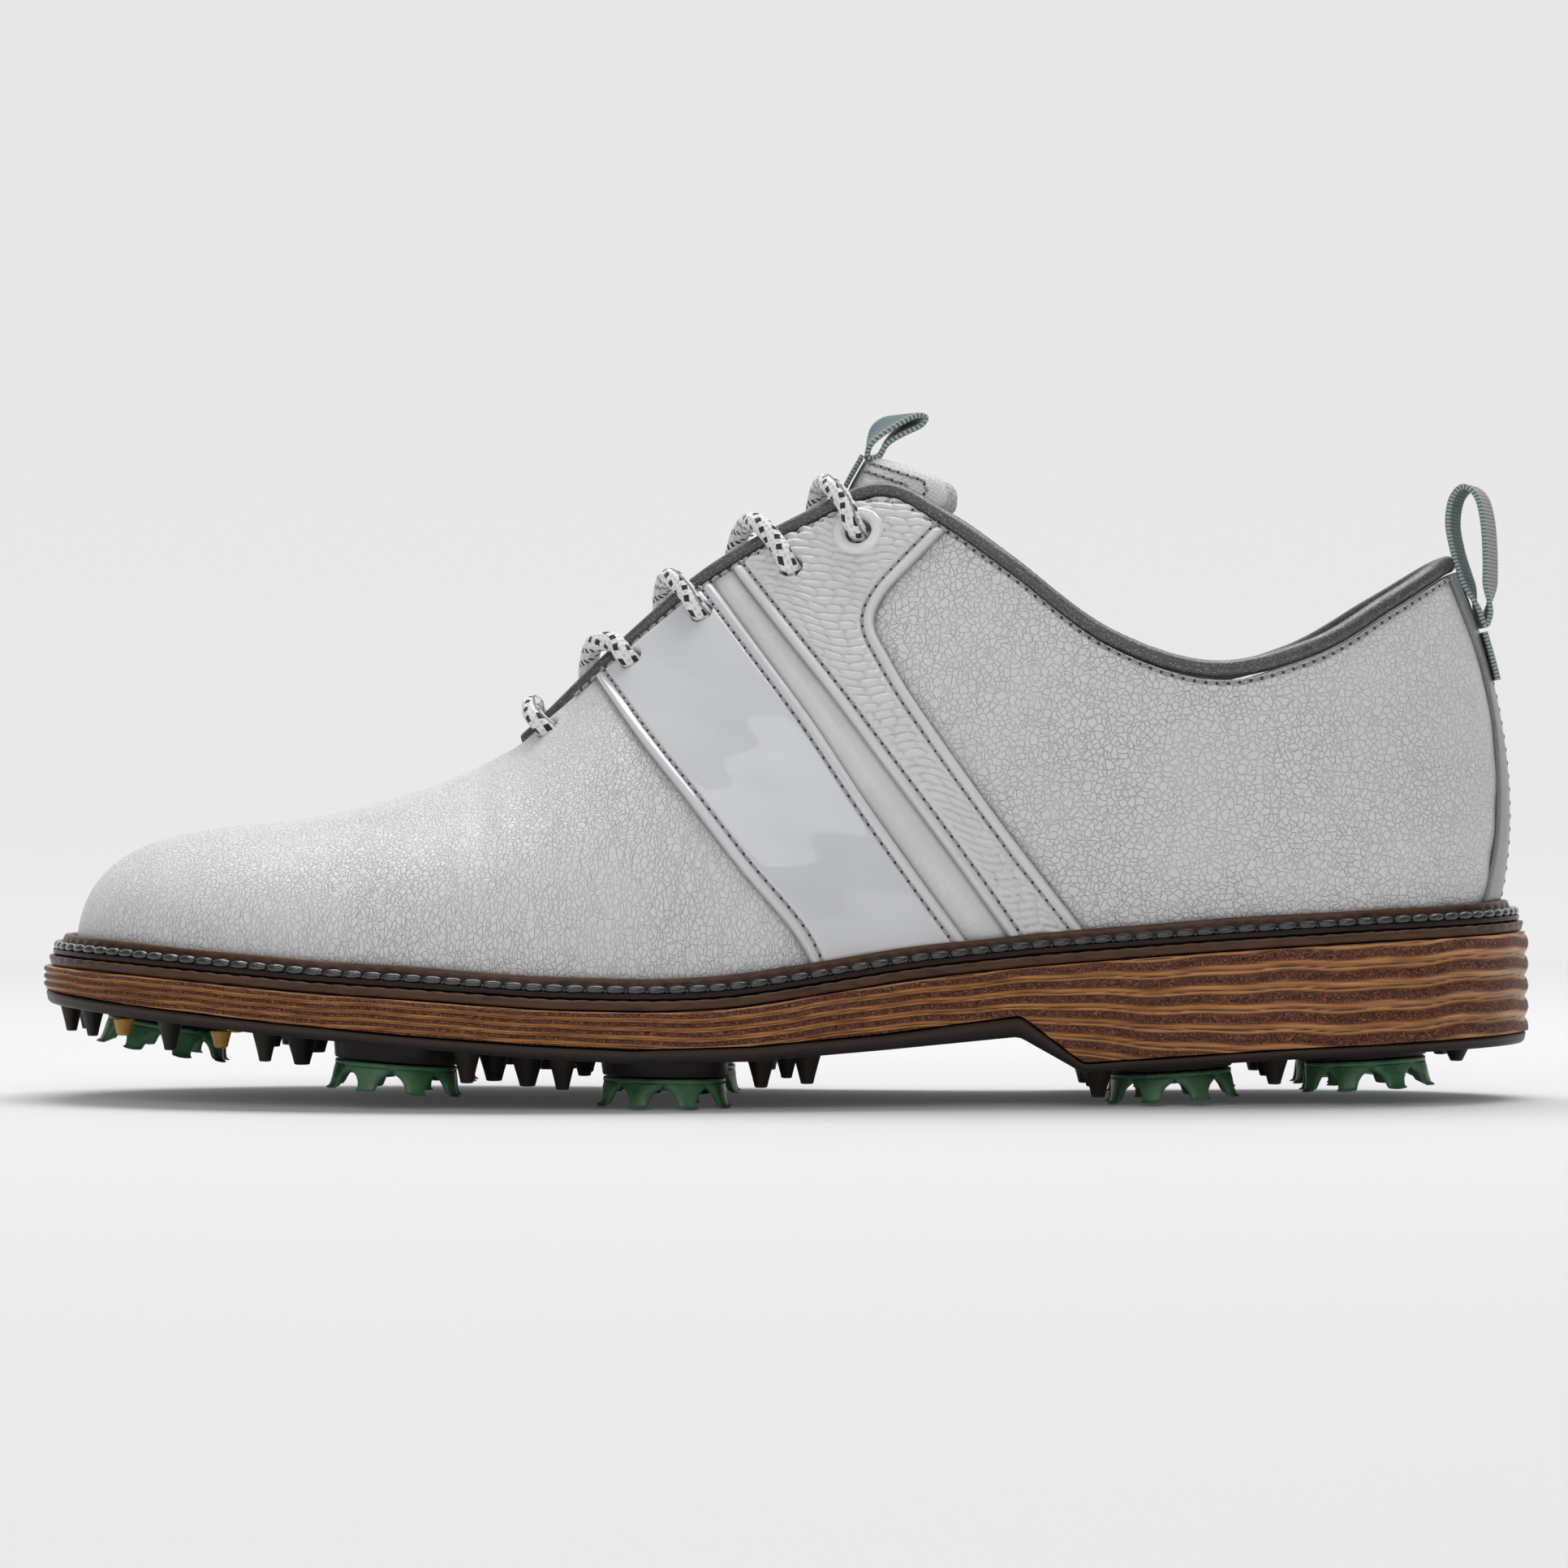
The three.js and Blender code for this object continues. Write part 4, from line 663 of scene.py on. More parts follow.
def clear_plastic(name, light, dark, clear, roughness):
    """Tinted see-through plastic, paler and duller in cloudy patches."""
    look = Look(name, roughness, Transmission_Weight=clear, IOR=1.47)
    clouds = look.noise(5.0, 3.0)
    look.colour(look.tones(clouds, dark, light))
    look.bump(look.noise(0.8, 3.0), 0.04)
    look.rough(clouds, roughness - 0.05, roughness + 0.1)
    return look.material


VAMP_LOOK = white_leather("vamp_leather", 0.95, 0.22, (0.79, 0.79, 0.785), 0.44, (1.0, 1.0, 0.6))
QUARTER_LOOK = white_leather("quarter_leather", 1.3, 0.24, (0.78, 0.78, 0.775), 0.42)
STRIP_LOOK = white_leather("strip_leather", 0.9, 0.02, (0.79, 0.79, 0.785), 0.2)
PATENT_LOOK = patent_leather()
SCALE_LOOK = scale_leather()
BINDING_LOOK = binding("binding", (0.06, 0.058, 0.057), (0.115, 0.113, 0.11))
BACKSTAY_LOOK = binding("backstay_binding", (0.24, 0.25, 0.25), (0.38, 0.39, 0.38))
LINING_LOOK = textile("lining_textile", (0.66, 0.665, 0.66), (0.45, 0.45, 0.45), 1.5)
TONGUE_LOOK = textile("tongue_textile", (0.88, 0.88, 0.88), (0.70, 0.70, 0.705), 0.9)
CORD_LOOK = lace_cord()
RIBBON_LOOK = grosgrain()
EYELET_LOOK = plain(
    "eyelet_plastic", (0.86, 0.86, 0.86), (0.80, 0.80, 0.81), 6.0, 0.16, 0.01, Coat_Weight=0.6
)
WELT_LOOK = welt_leather()
BEAD_LOOK = waxed_thread("welt_thread_wax", (0.034, 0.033, 0.034), (0.006, 0.006, 0.006), 0.22, 0.9)
STITCH_LOOK = waxed_thread("upper_thread", (0.50, 0.50, 0.50), (0.24, 0.24, 0.24), 0.55, 0.1)
# Dark pills between the stitches: painted shade in the needle holes.
NEEDLE_SHADE_LOOK = waxed_thread("needle_hole_shade", (0.10, 0.10, 0.10), (0.04, 0.04, 0.04), 0.9, 0.0)
ZIGZAG_LOOK = waxed_thread("zigzag_thread", (0.06, 0.06, 0.06), (0.012, 0.012, 0.012), 0.6, 0.1)
STACK_LOOK = stacked_sole()
SOLE_LOOK = moulded_rubber()
CLEAT_LOOK = clear_plastic("cleat_tpu", (0.12, 0.31, 0.14), (0.035, 0.135, 0.055), 0.3, 0.3)
ACCENT_LOOK = clear_plastic("accent_tpu", (0.80, 0.42, 0.06), (0.45, 0.2, 0.02), 0.4, 0.25)
FOAM_LOOK = plain("foam", (0.72, 0.71, 0.66), (0.58, 0.57, 0.52), 1.2, 0.9, 0.25)
BOARD_LOOK = plain("stiffener", (0.50, 0.38, 0.24), (0.34, 0.25, 0.15), 1.8, 0.85, 0.15)
CORK_LOOK = plain("cork", (0.48, 0.31, 0.17), (0.22, 0.12, 0.06), 1.4, 0.85, 0.3)
STEEL_LOOK = plain("steel", (0.60, 0.61, 0.63), (0.45, 0.46, 0.48), 3.0, 0.3, 0.02, Metallic=1.0)
NYLON_LOOK = plain("receptacle_nylon", (0.10, 0.09, 0.085), (0.05, 0.045, 0.04), 2.5, 0.5, 0.05)
SOCK_LOOK = textile("sock_textile", (0.60, 0.60, 0.595), (0.40, 0.40, 0.40), 1.2)

# ---------- camera, light and floor ----------
LENS = 136.5  # mm
CAMERA_DISTANCE, CAMERA_HEIGHT = 1.2, 0.0633  # m
KEY_WATTS, TOP_WATTS, SKY = 5.2, 17.5, 0.24
FLOOR_NEAR, FLOOR_DIM, FLOOR_GLOW = 0.76, 0.04, 0.785  # paint by the shoe, paint far off, its own light
camera_data = bpy.data.cameras.new("camera")
camera_data.sensor_width = 36
camera_data.lens = LENS
camera_data.clip_start, camera_data.clip_end = 0.05, 30
camera = bpy.data.objects.new("camera", camera_data)
camera.location = (SHIFT[0] / 1000, SHIFT[1] / 1000 - CAMERA_DISTANCE, CAMERA_HEIGHT)
camera.rotation_euler = (math.pi / 2, 0, 0)
bpy.context.scene.collection.objects.link(camera)
bpy.context.scene.camera = camera


def area_light(name, place, aim, width, height, watts):
    data = bpy.data.lights.new(name, "AREA")
    data.shape, data.size, data.size_y = "RECTANGLE", width, height
    data.energy = watts
    light = bpy.data.objects.new(name, data)
    light.location = place
    light.rotation_euler = (Vector(aim) - Vector(place)).to_track_quat("-Z", "Y").to_euler()
    bpy.context.scene.collection.objects.link(light)


area_light("key", (-0.22, -1.12, 0.84), (0.0, 0.0, 0.05), 1.6, 0.75, KEY_WATTS)
area_light("top", (0.1, 0.4, 1.35), (0.0, 0.0, 0.02), 1.3, 0.8, TOP_WATTS)

world = bpy.data.worlds.new("studio")
world.use_nodes = True
world.node_tree.nodes["Background"].inputs["Color"].default_value = (0.93, 0.96, 1.0, 1)
world.node_tree.nodes["Background"].inputs["Strength"].default_value = SKY
bpy.context.scene.world = world
bpy.context.scene.view_settings.view_transform = "Standard"


def studio_floor():
    """A pale floor that curves up into a back wall."""
    path = [(-4.0, 0.0), (2.2, 0.0)]
    path += [(2.2 + 1.5 * math.sin(a), 1.5 - 1.5 * math.cos(a)) for a in np.linspace(0.1, math.pi / 2, 16)]
    path += [(3.7, 5.0)]
    vertices = [(x, y, z) for y, z in path for x in np.linspace(-6, 6, 9)]
    mesh = bpy.data.meshes.new("studio_floor")
    mesh.from_pydata(vertices, [], grid_faces(len(path), 9).tolist())
    mesh.shade_smooth()
    look = Look("floor_paint", 0.85, Specular_IOR_Level=0.1)
    where = look.node("ShaderNodeTexCoord").outputs["Object"]
    x, y, _ = look.node("ShaderNodeSeparateXYZ", Vector=where).outputs
    ring = look.math("ADD", look.math("MULTIPLY", x, x), look.math("MULTIPLY", y, y))
    far = look.node("ShaderNodeMapRange", Value=ring, _1=0.05, _2=1.2, _3=0.0, _4=1.0).outputs[0]
    look.colour(look.mix(far, (FLOOR_NEAR,) * 3, (FLOOR_DIM,) * 3))
    glow = look.mix(far, (FLOOR_DIM,) * 3, (FLOOR_GLOW,) * 3)
    look.put(look.shader.inputs["Emission Color"], glow)
    look.shader.inputs["Emission Strength"].default_value = 1.0
    mesh.materials.append(look.material)
    floor = bpy.data.objects.new("studio_floor", mesh)
    bpy.context.scene.collection.objects.link(floor)


studio_floor()


# ---------- lace holes ----------
@lru_cache(None)
def section(t):
    """A line across the foot at one station, with the distance of its points from the middle."""
    v = np.linspace(0.35, 1, 25)
    lateral = last_point(np.full(25, t), v)
    medial = last_point(np.full(25, LOOP - t), v)
    _, _, high_l, head_l = (a[0] for a in profile(t))
    _, _, high_m, head_m = (a[0] for a in profile(LOOP - t))
    chord = np.linalg.norm(head_l - head_m)
    go_in = unit(head_l - high_l) * chord * 0.55
    go_out = unit(high_m - head_m) * chord * 0.55
    bridge = np.zeros((0, 3))
    if chord > 0.01:
        s = np.linspace(0, 1, 17)[1:-1, None]
        bridge = head_l * (2 * s**3 - 3 * s**2 + 1) + go_in * (s**3 - 2 * s**2 + s)
        bridge = bridge + head_m * (3 * s**2 - 2 * s**3) + go_out * (s**3 - s**2)
    line = np.vstack([lateral, bridge, medial[::-1]])
    lengths = travel(line)
    edge_l, edge_m = lengths[24], lengths[25 + len(bridge)]
    return line, lengths - (edge_l + edge_m) / 2, (edge_m - edge_l) / 2


def on_section(t, w):
    line, lengths, _ = section(round(float(t), 5))
    i = int(np.clip(np.searchsorted(lengths, w) - 1, 0, len(lengths) - 2))
    f = (w - lengths[i]) / (lengths[i + 1] - lengths[i])
    return line[i] * (1 - f) + line[i + 1] * f


def instep(t, w, d):
    """Point at station t, w across and d below the outer surface, and the outward direction."""
    along = on_section(t + 0.1, w) - on_section(t - 0.1, w)
    across = on_section(t, w + 2.5) - on_section(t, w - 2.5)
    n = unit(np.cross(along, across))
    return on_section(t, w) - n * d, n


HOLE_STATIONS = [6.35, 7.25, 7.92, 8.78, 9.6]
HOLE_INSETS = (7.2, 8.6, 10.6, 11.8, 10.6)
EYELET_BARREL, EYELET_FLANGE = 3.75, 1.15
flap_depth = LEATHER + GAP + LINING


def hole_at(k, side):
    t = HOLE_STATIONS[k]
    return t, side * (section(t)[2] + HOLE_INSETS[k])


PUNCHED_RADIUS, EYELET_POCKET, HOLE_DEPTH, HOLE_REACH = 2.35, 3.5, 3.0, 9.0
HOLES = [
    (*instep(*hole_at(k, side), 0.0), EYELET_POCKET if k == 4 else PUNCHED_RADIUS)
    for k in range(5) for side in (-1, 1)
]


def hole_depth(points):
    """How far the lace holes push the leather in."""
    depth = np.zeros(len(points))
    for centre, axis, radius in HOLES:
        offset = points - centre
        lift = offset @ axis
        r = np.linalg.norm(offset - lift[:, None] * axis, axis=1)
        near = np.abs(lift) < HOLE_REACH
        depth = np.maximum(depth, HOLE_DEPTH * near * (1 - smooth(radius - 0.45, radius + 0.1, r)))
    return depth


# ---------- outer panels ----------
SEAM_INSET = 2.35  # from a raised edge to the middle of its stitch groove
GROOVE_DEPTH = 0.42


def raised_edge(d):
    """Height over the neighbour at distance d from a raised edge: a folded bead, then a stitch groove."""
    roll = quarter_round(d, 0.75)
    bead = 0.32 * bell(d - 0.95, 0.62)
    groove = GROOVE_DEPTH * bell(d - SEAM_INSET, 0.42)
    return roll, bead - groove


def panel_columns(width, middle, fine, pitch=0.2):
    """Shares from 0 to 1 across a panel: close columns by each edge and even ones between."""
    edge = np.minimum(np.arange(fine + 1) * pitch / width[:, None], 0.28 * np.arange(fine + 1) / fine)
    inner = np.linspace(0, 1, middle + 1)[None, 1:-1]
    start = edge[:, -1:]
    inner = start + (1 - 2 * start) * inner
    return np.hstack([edge[:, :1], edge, inner, 1 - edge[:, ::-1], 1 - edge[:, :1]])


def panel_mesh(side, c, v, height, shade):
    """Vertices and faces of a grid on one side, pushed out by its height."""
    points = upper_point(side * c, v) + upper_normal(side * c, v) * height.reshape(-1, 1)
    faces = grid_faces(*c.shape)
    return points, faces if side > 0 else faces[:, ::-1], shade.ravel()


def top_fade(c, v, side):
    """1 inside the panel, falling off towards the piping."""
    top, below = upper_point(side * c, np.ones_like(v)), upper_point(side * c, np.full_like(v, 0.9))
    gap = (1 - v.ravel()) * np.linalg.norm(top - below, axis=1) * 10
    return 0.3 + 0.7 * smooth(0.0, 2.6, gap), gap


def raised_panel(name, side_name, front, rear, rows, middle, look, slot, relief):
    """A panel that lies over both of its neighbours."""
    side = SIDES[side_name]
    v = np.linspace(0, 1, rows)
    a, b = seam_station(front, side, v), seam_station(rear, side, v)
    width = np.linalg.norm(upper_point(side * a, v) - upper_point(side * b, v), axis=1)
    share = panel_columns(width, middle, 20)
    c = between(a, b, share)
    vv = np.repeat(v[:, None], c.shape[1], axis=1)
    base = upper_point(side * c, vv)
    d = np.minimum(*(distance(base, seam_line(seam, side)[0]) for seam in (front, rear)))
    roll, fold = raised_edge(d)
    fade, top_gap = top_fade(c, vv, side)
    height = -0.35 + (RAISE + 0.35) * roll * fade + fold * fade
    inside = smooth(2.6, 4.0, d)
    bumps = relief(base, d) * inside
    height += bumps
    pocket = hole_depth(base)
    height = height.reshape(c.shape)
    height[:, 0] = height[:, -1] = -1.0
    height -= pocket.reshape(c.shape)
    shade = 0.28 * bell(d - SEAM_INSET, 0.3) + 0.5 * (1 - smooth(0.0, 0.35, d)) + smooth(0.4, 2.5, pocket)
    shade += 0.3 * bell(top_gap, 0.6) + 0.35 * (1 - smooth(-0.45, 0.05, bumps)) * inside
    points, faces, shade = panel_mesh(side, c, vv, height, np.clip(shade, 0, 1))
    full = f"{name}_{side_name}"
    build(full + "_skin", points, faces, look, slot=slot, replaces=[full], attributes={"shade": shade})


def low_panel(name, c, v, side, look, slot, neighbours, node, relief):
    """A panel that runs under its neighbours' raised edges."""
    vv = np.repeat(v[:, None], c.shape[1], axis=1)
    base = upper_point(side * c, vv)
    d = np.full(len(base), 99.0)
    for seam, wall in neighbours:
        d = np.minimum(d, distance(base, seam_line(seam, wall)[0]))
    height = -0.3 + 0.3 * smooth(0.0, 3.5, d) + relief(base, d)
    pocket = hole_depth(base)
    height = height - pocket
    shade = 0.62 * bell(d, 0.55) + 0.16 * bell(d, 2.2) + smooth(0.4, 2.5, pocket)
    points, faces, shade = panel_mesh(side, c, vv, height, np.clip(shade, 0, 1))
    build(name, points, faces, look, slot=slot, replaces=[node], attributes={"shade": shade})


def waves(points, *terms):
    """A sum of plane waves over the surface, each (amplitude, wavelength, direction, phase)."""
    out = np.zeros(len(points))
    for amplitude, wavelength, direction, phase in terms:
        along = points @ unit(np.array(direction, float))
        out += amplitude * np.sin(along * 2 * math.pi / wavelength + phase)
    return out


def smooth_skin(points, _):
    """Slow swell of a panel that doesn't flex."""
    return waves(points, (0.05, 17, (1, 0, 0.6), 0.4), (0.04, 9, (0.3, 0, 1), 1.1))


SCALE_PITCH = 1.55


def scatter(seed):
    """A number from 0 to 1 that looks random, the same each run."""
    value = np.sin(seed) * 43758.5453
    return value - np.floor(value)


def scales(points, _):
    """Rows of wide low scales that wander across the panel."""
    x, z = points[:, 0] + points[:, 1] * 0.2, points[:, 2]
    z = z + 0.55 * np.sin(x / 4.3) + 0.35 * np.sin(x / 1.9 + z / 5.0) + 0.12 * x
    row = np.floor(z / SCALE_PITCH)
    up = z / SCALE_PITCH - row
    jitter = scatter(row * 12.9898)
    width = 3.3 + 1.5 * jitter
    along = x / width + jitter * 7.0 + 0.12 * np.sin(z * 2.1)
    cell = np.floor(along)
    across = along - cell
    lift = scatter((row * 7.1 + cell) * 78.233)
    dome = np.clip(1 - (2 * across - 1) ** 4, 0, 1)
    dome = dome * np.sin(math.pi * np.clip(up * 0.55 + 0.18, 0, 1)) ** 0.7
    groove = bell(up - 0.02, 0.16) + bell(up - 1.02, 0.16)
    deepest = 0.55 + 0.45 * np.clip(1 - (2 * across - 1) ** 6, 0, 1)
    return 0.62 * dome * (0.6 + 0.6 * lift) - 0.46 * groove * deepest


def creases(points, _):
    """Slow puckers of a leather panel that flexes."""
    lower = 1 - smooth(45, 75, points[:, 2])
    puckers = waves(points, (0.16, 13, (1, 0, 0.35), 0.5), (0.12, 7.5, (0.9, 0, 0.8), 2.0))
    return puckers * (0.35 + 0.65 * lower)


def toe_skin(points, _):
    """Low puckers where the vamp bends, behind the smooth toe."""
    flex = smooth(-78, -52, points[:, 0])
    return waves(points, (0.10, 11, (1, 0, 0.2), 0.2), (0.07, 6.3, (1, 0.2, -0.3), 1.0)) * flex


for side_name, side in SIDES.items():
    raised_panel("saddle", side_name, SADDLE, STRIP, 190, 50, PATENT_LOOK, "patent_leather", smooth_skin)
    raised_panel("eyestay", side_name, EYESTAY, QUARTER, 330, 90, SCALE_LOOK, "scale_leather", scales)
    v = np.linspace(0, 1, 190)
    a = seam_station(STRIP, side, v) - 0.09
    b = seam_station(EYESTAY, side, v) + 0.09
    c = between(a, b, np.linspace(0, 1, 30))
    low_panel(f"underlay_strip_{side_name}_skin", c, v, side, STRIP_LOOK, "white_leather",
              [(STRIP, side), (EYESTAY, side)], f"underlay_strip_{side_name}", smooth_skin)
    v = np.linspace(0, 1, 170)
    a = seam_station(QUARTER, side, v) - 0.12
    b = seam_station(BACKSTAY, side, v) + 0.10
    c = between(a, b, np.linspace(0, 1, 230))
    low_panel(f"quarter_{side_name}_skin", c, v, side, QUARTER_LOOK, "white_leather",
              [(QUARTER, side), (BACKSTAY, side)], f"quarter_{side_name}", creases)

v = np.linspace(0, 1, 150)
a = -(seam_station(SADDLE, -1, v) + 0.12)
b = seam_station(SADDLE, 1, v) + 0.12
c = between(a, b, np.linspace(0, 1, 520))
low_panel("vamp_skin", c, v, 1, VAMP_LOOK, "white_leather", [(SADDLE, 1), (SADDLE, -1)], "vamp",
          toe_skin)


def heel_strip():
    """Narrow strip over the back seam, with its edges turned under."""
    v = np.linspace(0, 1, 150)
    a, b = seam_station(BACKSTAY, 1, v), LOOP - seam_station(BACKSTAY, -1, v)
    c = between(a, b, np.linspace(0, 1, 60))
    vv = np.repeat(v[:, None], 60, axis=1)
    base = upper_point(c, vv)
    d = np.minimum(*(distance(base, seam_line(BACKSTAY, side)[0]) for side in (1, -1)))
    height = -0.2 + 0.75 * quarter_round(d, 0.6)
    shade = 0.5 * (1 - smooth(0.0, 0.4, d))
    points, faces, shade = panel_mesh(1, c, vv, height, shade)
    build("heel_backstay_skin", points, faces, BACKSTAY_LOOK, slot="binding", replaces=["heel_backstay"],
          attributes={"shade": shade})


heel_strip()


# ---------- stitches ----------
def resample(line, pitch):
    """Points at an even pitch along a line; further columns are carried along."""
    lengths = travel(line)
    count = max(2, int(lengths[-1] / pitch))
    at = np.linspace(0, lengths[-1], count)
    return np.stack([np.interp(at, lengths, line[:, k]) for k in range(line.shape[1])], 1)


def pill(sides, rings):
    """A round-ended pill along X, half a length each way and of radius 1, for one stitch."""
    a = np.linspace(0, math.pi, rings)
    b = np.linspace(0, 2 * math.pi, sides, endpoint=False)
    x = -np.cos(a)[:, None] * np.ones(sides)
    r = np.sin(a)[:, None] ** 0.6
    points = np.stack([x, r * np.cos(b), r * np.sin(b)], -1).reshape(-1, 3)
    return points, grid_faces(rings, sides, wrap_columns=True)


def pills(centres, directions, normals, length, radius, sides=7, rings=6, slant=0.0):
    """Many stitches as one set of vertices and faces."""
    shape, quads = pill(sides, rings)
    x = unit(directions)
    z = unit(normals - (normals * x).sum(1, keepdims=True) * x)
    y = np.cross(z, x)
    x, y = x * math.cos(slant) + y * math.sin(slant), y * math.cos(slant) - x * math.sin(slant)
    local = shape * np.array([length / 2, radius, radius])
    points = centres[:, None] + sum(local[None, :, k:k + 1] * way[:, None] for k, way in enumerate((x, y, z)))
    faces = (quads[None] + (np.arange(len(centres)) * len(shape))[:, None, None]).reshape(-1, 4)
    return points.reshape(-1, 3), faces


def seam_row(seam, side, inset, lift, low=0.02, high=0.985):
    """A line at a distance behind (+) or in front of (-) a seam, with its outward directions."""
    v = np.linspace(low, high, 260)
    t = seam_station(seam, side, v)
    p = upper_point(side * t, v)
    q = upper_point(side * (t + 0.05), v)
    along = unit(np.gradient(p, axis=0))
    step = q - p
    step -= (step * along).sum(1, keepdims=True) * along
    rate = np.linalg.norm(step, axis=1) / 0.05
    t = t + inset / rate
    p, n = upper_point(side * t, v), upper_normal(side * t, v)
    return np.hstack([p + n * lift, n])


STITCH_PITCH, STITCH_LENGTH, STITCH_RADIUS = 2.2, 1.7, 0.38


def stitch_row(line):
    """The stitches along a line, and dark pills between them as painted shade in the needle holes."""
    row = resample(line, STITCH_PITCH)
    p, n = row[:, :3], row[:, 3:]
    d = np.gradient(p, axis=0)
    return (
        pills(p, d, n, STITCH_LENGTH, STITCH_RADIUS, slant=0.16),
        pills(p[:-1] + np.diff(p, axis=0) / 2 - n[:-1] * 0.05, d[:-1], n[:-1], 0.62, 0.36),
    )


def add_stitches(name, lines, body="shoe"):
    threads, hole_shades = zip(*(stitch_row(line) for line in lines))
    build(name, *join(threads), STITCH_LOOK, body=body, slot="thread")
    build(name + "_needle_hole_shade", *join(hole_shades), NEEDLE_SHADE_LOOK, body=body, slot="thread")


GROOVE_LIFT = RAISE - GROOVE_DEPTH + 0.06
for side_name, side in SIDES.items():
    add_stitches(f"saddle_stitches_{side_name}", [
        seam_row(SADDLE, side, SEAM_INSET, GROOVE_LIFT), seam_row(STRIP, side, -SEAM_INSET, GROOVE_LIFT),
    ])
    add_stitches(f"eyestay_stitches_{side_name}", [
        seam_row(EYESTAY, side, SEAM_INSET, GROOVE_LIFT), seam_row(QUARTER, side, -SEAM_INSET, GROOVE_LIFT),
    ])


def collar_row(start, end, below, lift):
    """A line just below the top edge, between two loop coordinates."""
    c = np.linspace(start, end, 500)
    _, _, high, head = profile(c)
    v = 1 - below / (3 * np.linalg.norm(high - head, axis=1))
    p, n = upper_point(c, v), upper_normal(c, v)
    return np.hstack([p + n * lift, n])


add_stitches("collar_stitches", [
    collar_row(start, end, 0.75, 0.28) for start, end in ((6.7, 17.6), (18.4, 29.3))
])


def zigzag():
    """Zig-zag stitching down the strip on the back seam."""
    v = np.arange(0.03, 0.80, 0.019)
    swing = np.where(np.arange(len(v)) % 2 == 0, 1.0, -1.0)
    t = LAST + 0.164 * swing
    p, n = upper_point(t, v), upper_normal(t, v)
    p = p + n * 0.6
    middle, step = (p[1:] + p[:-1]) / 2, np.diff(p, axis=0)
    threads = [
        pills(m[None], s[None], k[None], np.linalg.norm(s) * 1.05, 0.27)
        for m, s, k in zip(middle, step, n[:-1])
    ]
    build("backstay_zigzag", *join(threads), ZIGZAG_LOOK, slot="thread")


zigzag()


# ---------- tubes ----------
def tube(points, radius, sides):
    """A round tube along points: vertices, faces, length along and turn round."""
    points = np.asarray(points, float)
    radius = np.broadcast_to(np.asarray(radius, float), (len(points),))
    direction = unit(np.gradient(points, axis=0))
    start = np.array([0, 0, 1.0]) if abs(direction[0, 2]) < 0.9 else np.array([1.0, 0, 0])
    sides_a, rings = np.linspace(0, 2 * math.pi, sides, endpoint=False), []
    for p, d, r in zip(points, direction, radius):
        start = unit(start - (start @ d) * d)
        up = np.cross(d, start)
        rings.append(p + r * (np.cos(sides_a)[:, None] * start + np.sin(sides_a)[:, None] * up))
    count = len(points)
    quads = grid_faces(count, sides, wrap_columns=True)
    vertices = np.vstack([*rings, points[:1], points[-1:]])
    k = np.arange(sides)
    first = np.stack([np.full(sides, count * sides), (k + 1) % sides, k], 1)
    last = (count - 1) * sides
    end = np.stack([np.full(sides, count * sides + 1), last + k, last + (k + 1) % sides], 1)
    lengths = travel(points)
    along = np.concatenate([np.repeat(lengths, sides), lengths[:1], lengths[-1:]])
    around = np.concatenate([np.tile(np.arange(sides) / sides, count), [0.5, 0.5]])
    return vertices, [quads, np.vstack([first, end])], along, around


PIPING_SKIN_RADIUS = PIPING_RADIUS + 0.25


def piping():
    """Rolled edge round the throat and the collar."""
    c = np.linspace(RIDGE + 1, LOOP - RIDGE - 1, 640)
    _, _, high, head = profile(c)
    down = unit(high - head)
    along = last_point(c + 0.1, 1.0) - last_point(c - 0.1, 1.0)
    inward = unit(np.cross(along, down))
    path = head + down * PIPING_RADIUS + inward * (flap_depth / 2 - 0.35)
    radius = PIPING_SKIN_RADIUS * np.maximum(quarter_round(np.minimum(c - c[0], c[-1] - c), 0.06), 0.02**0.5)
    vertices, faces, _, _ = tube(path, radius, 16)
    vertices = vertices + 0.04 * np.sin(vertices[:, :1] * 2.3) * np.sin(vertices[:, 2:] * 2.9)
    build("collar_piping_skin", vertices, faces, BINDING_LOOK, slot="binding", replaces=["collar_piping"],
          attributes={"shade": np.zeros(len(vertices))})


piping()


# ---------- lace ----------
under_depth = flap_depth + LACE_CLEARANCE + LACE_RADIUS
LACE_SWELL = 0.22
over_depth = -(LACE_RADIUS + LACE_SWELL + RAISE + 0.1)
turn = (under_depth - over_depth) / 2


def lace_point(t, w, d):
    return instep(t, w, d)[0]


def through_hole(k, side, inward):
    """Down through hole k, from outside to under the flap."""
    t, w = hole_at(k, side)
    mid = (over_depth + under_depth) / 2
    raised = EYELET_FLANGE if inward < 0 else 0
    back = side * inward
    return [
        lace_point(t - 0.05, w - side * (turn + raised), over_depth - raised),
        lace_point(t - 0.03, w - side * turn * 0.3, mid - turn * 0.72 - raised),
        lace_point(t, w, mid),
        lace_point(t + 0.03, w - back * turn * 0.3, mid + turn * 0.72),
        lace_point(t + 0.05, w - back * turn, under_depth),
    ]


def crossing(k, side, high):
    """From under one flap over the tongue to the other side's next hole."""
    t0, t1 = HOLE_STATIONS[k], HOLE_STATIONS[k + 1]
    ta, tb = t0 + 0.22 * (t1 - t0), t1 - 0.22 * (t1 - t0)
    return [
        lace_point(ta, side * (section(round(ta, 5))[2] + 0.5), under_depth + 0.35),
        lace_point((t0 + t1) / 2, 0, 0.6 if high else 4.6),
        lace_point(tb, -side * (section(round(tb, 5))[2] + 0.5), over_depth - 0.4),
    ]


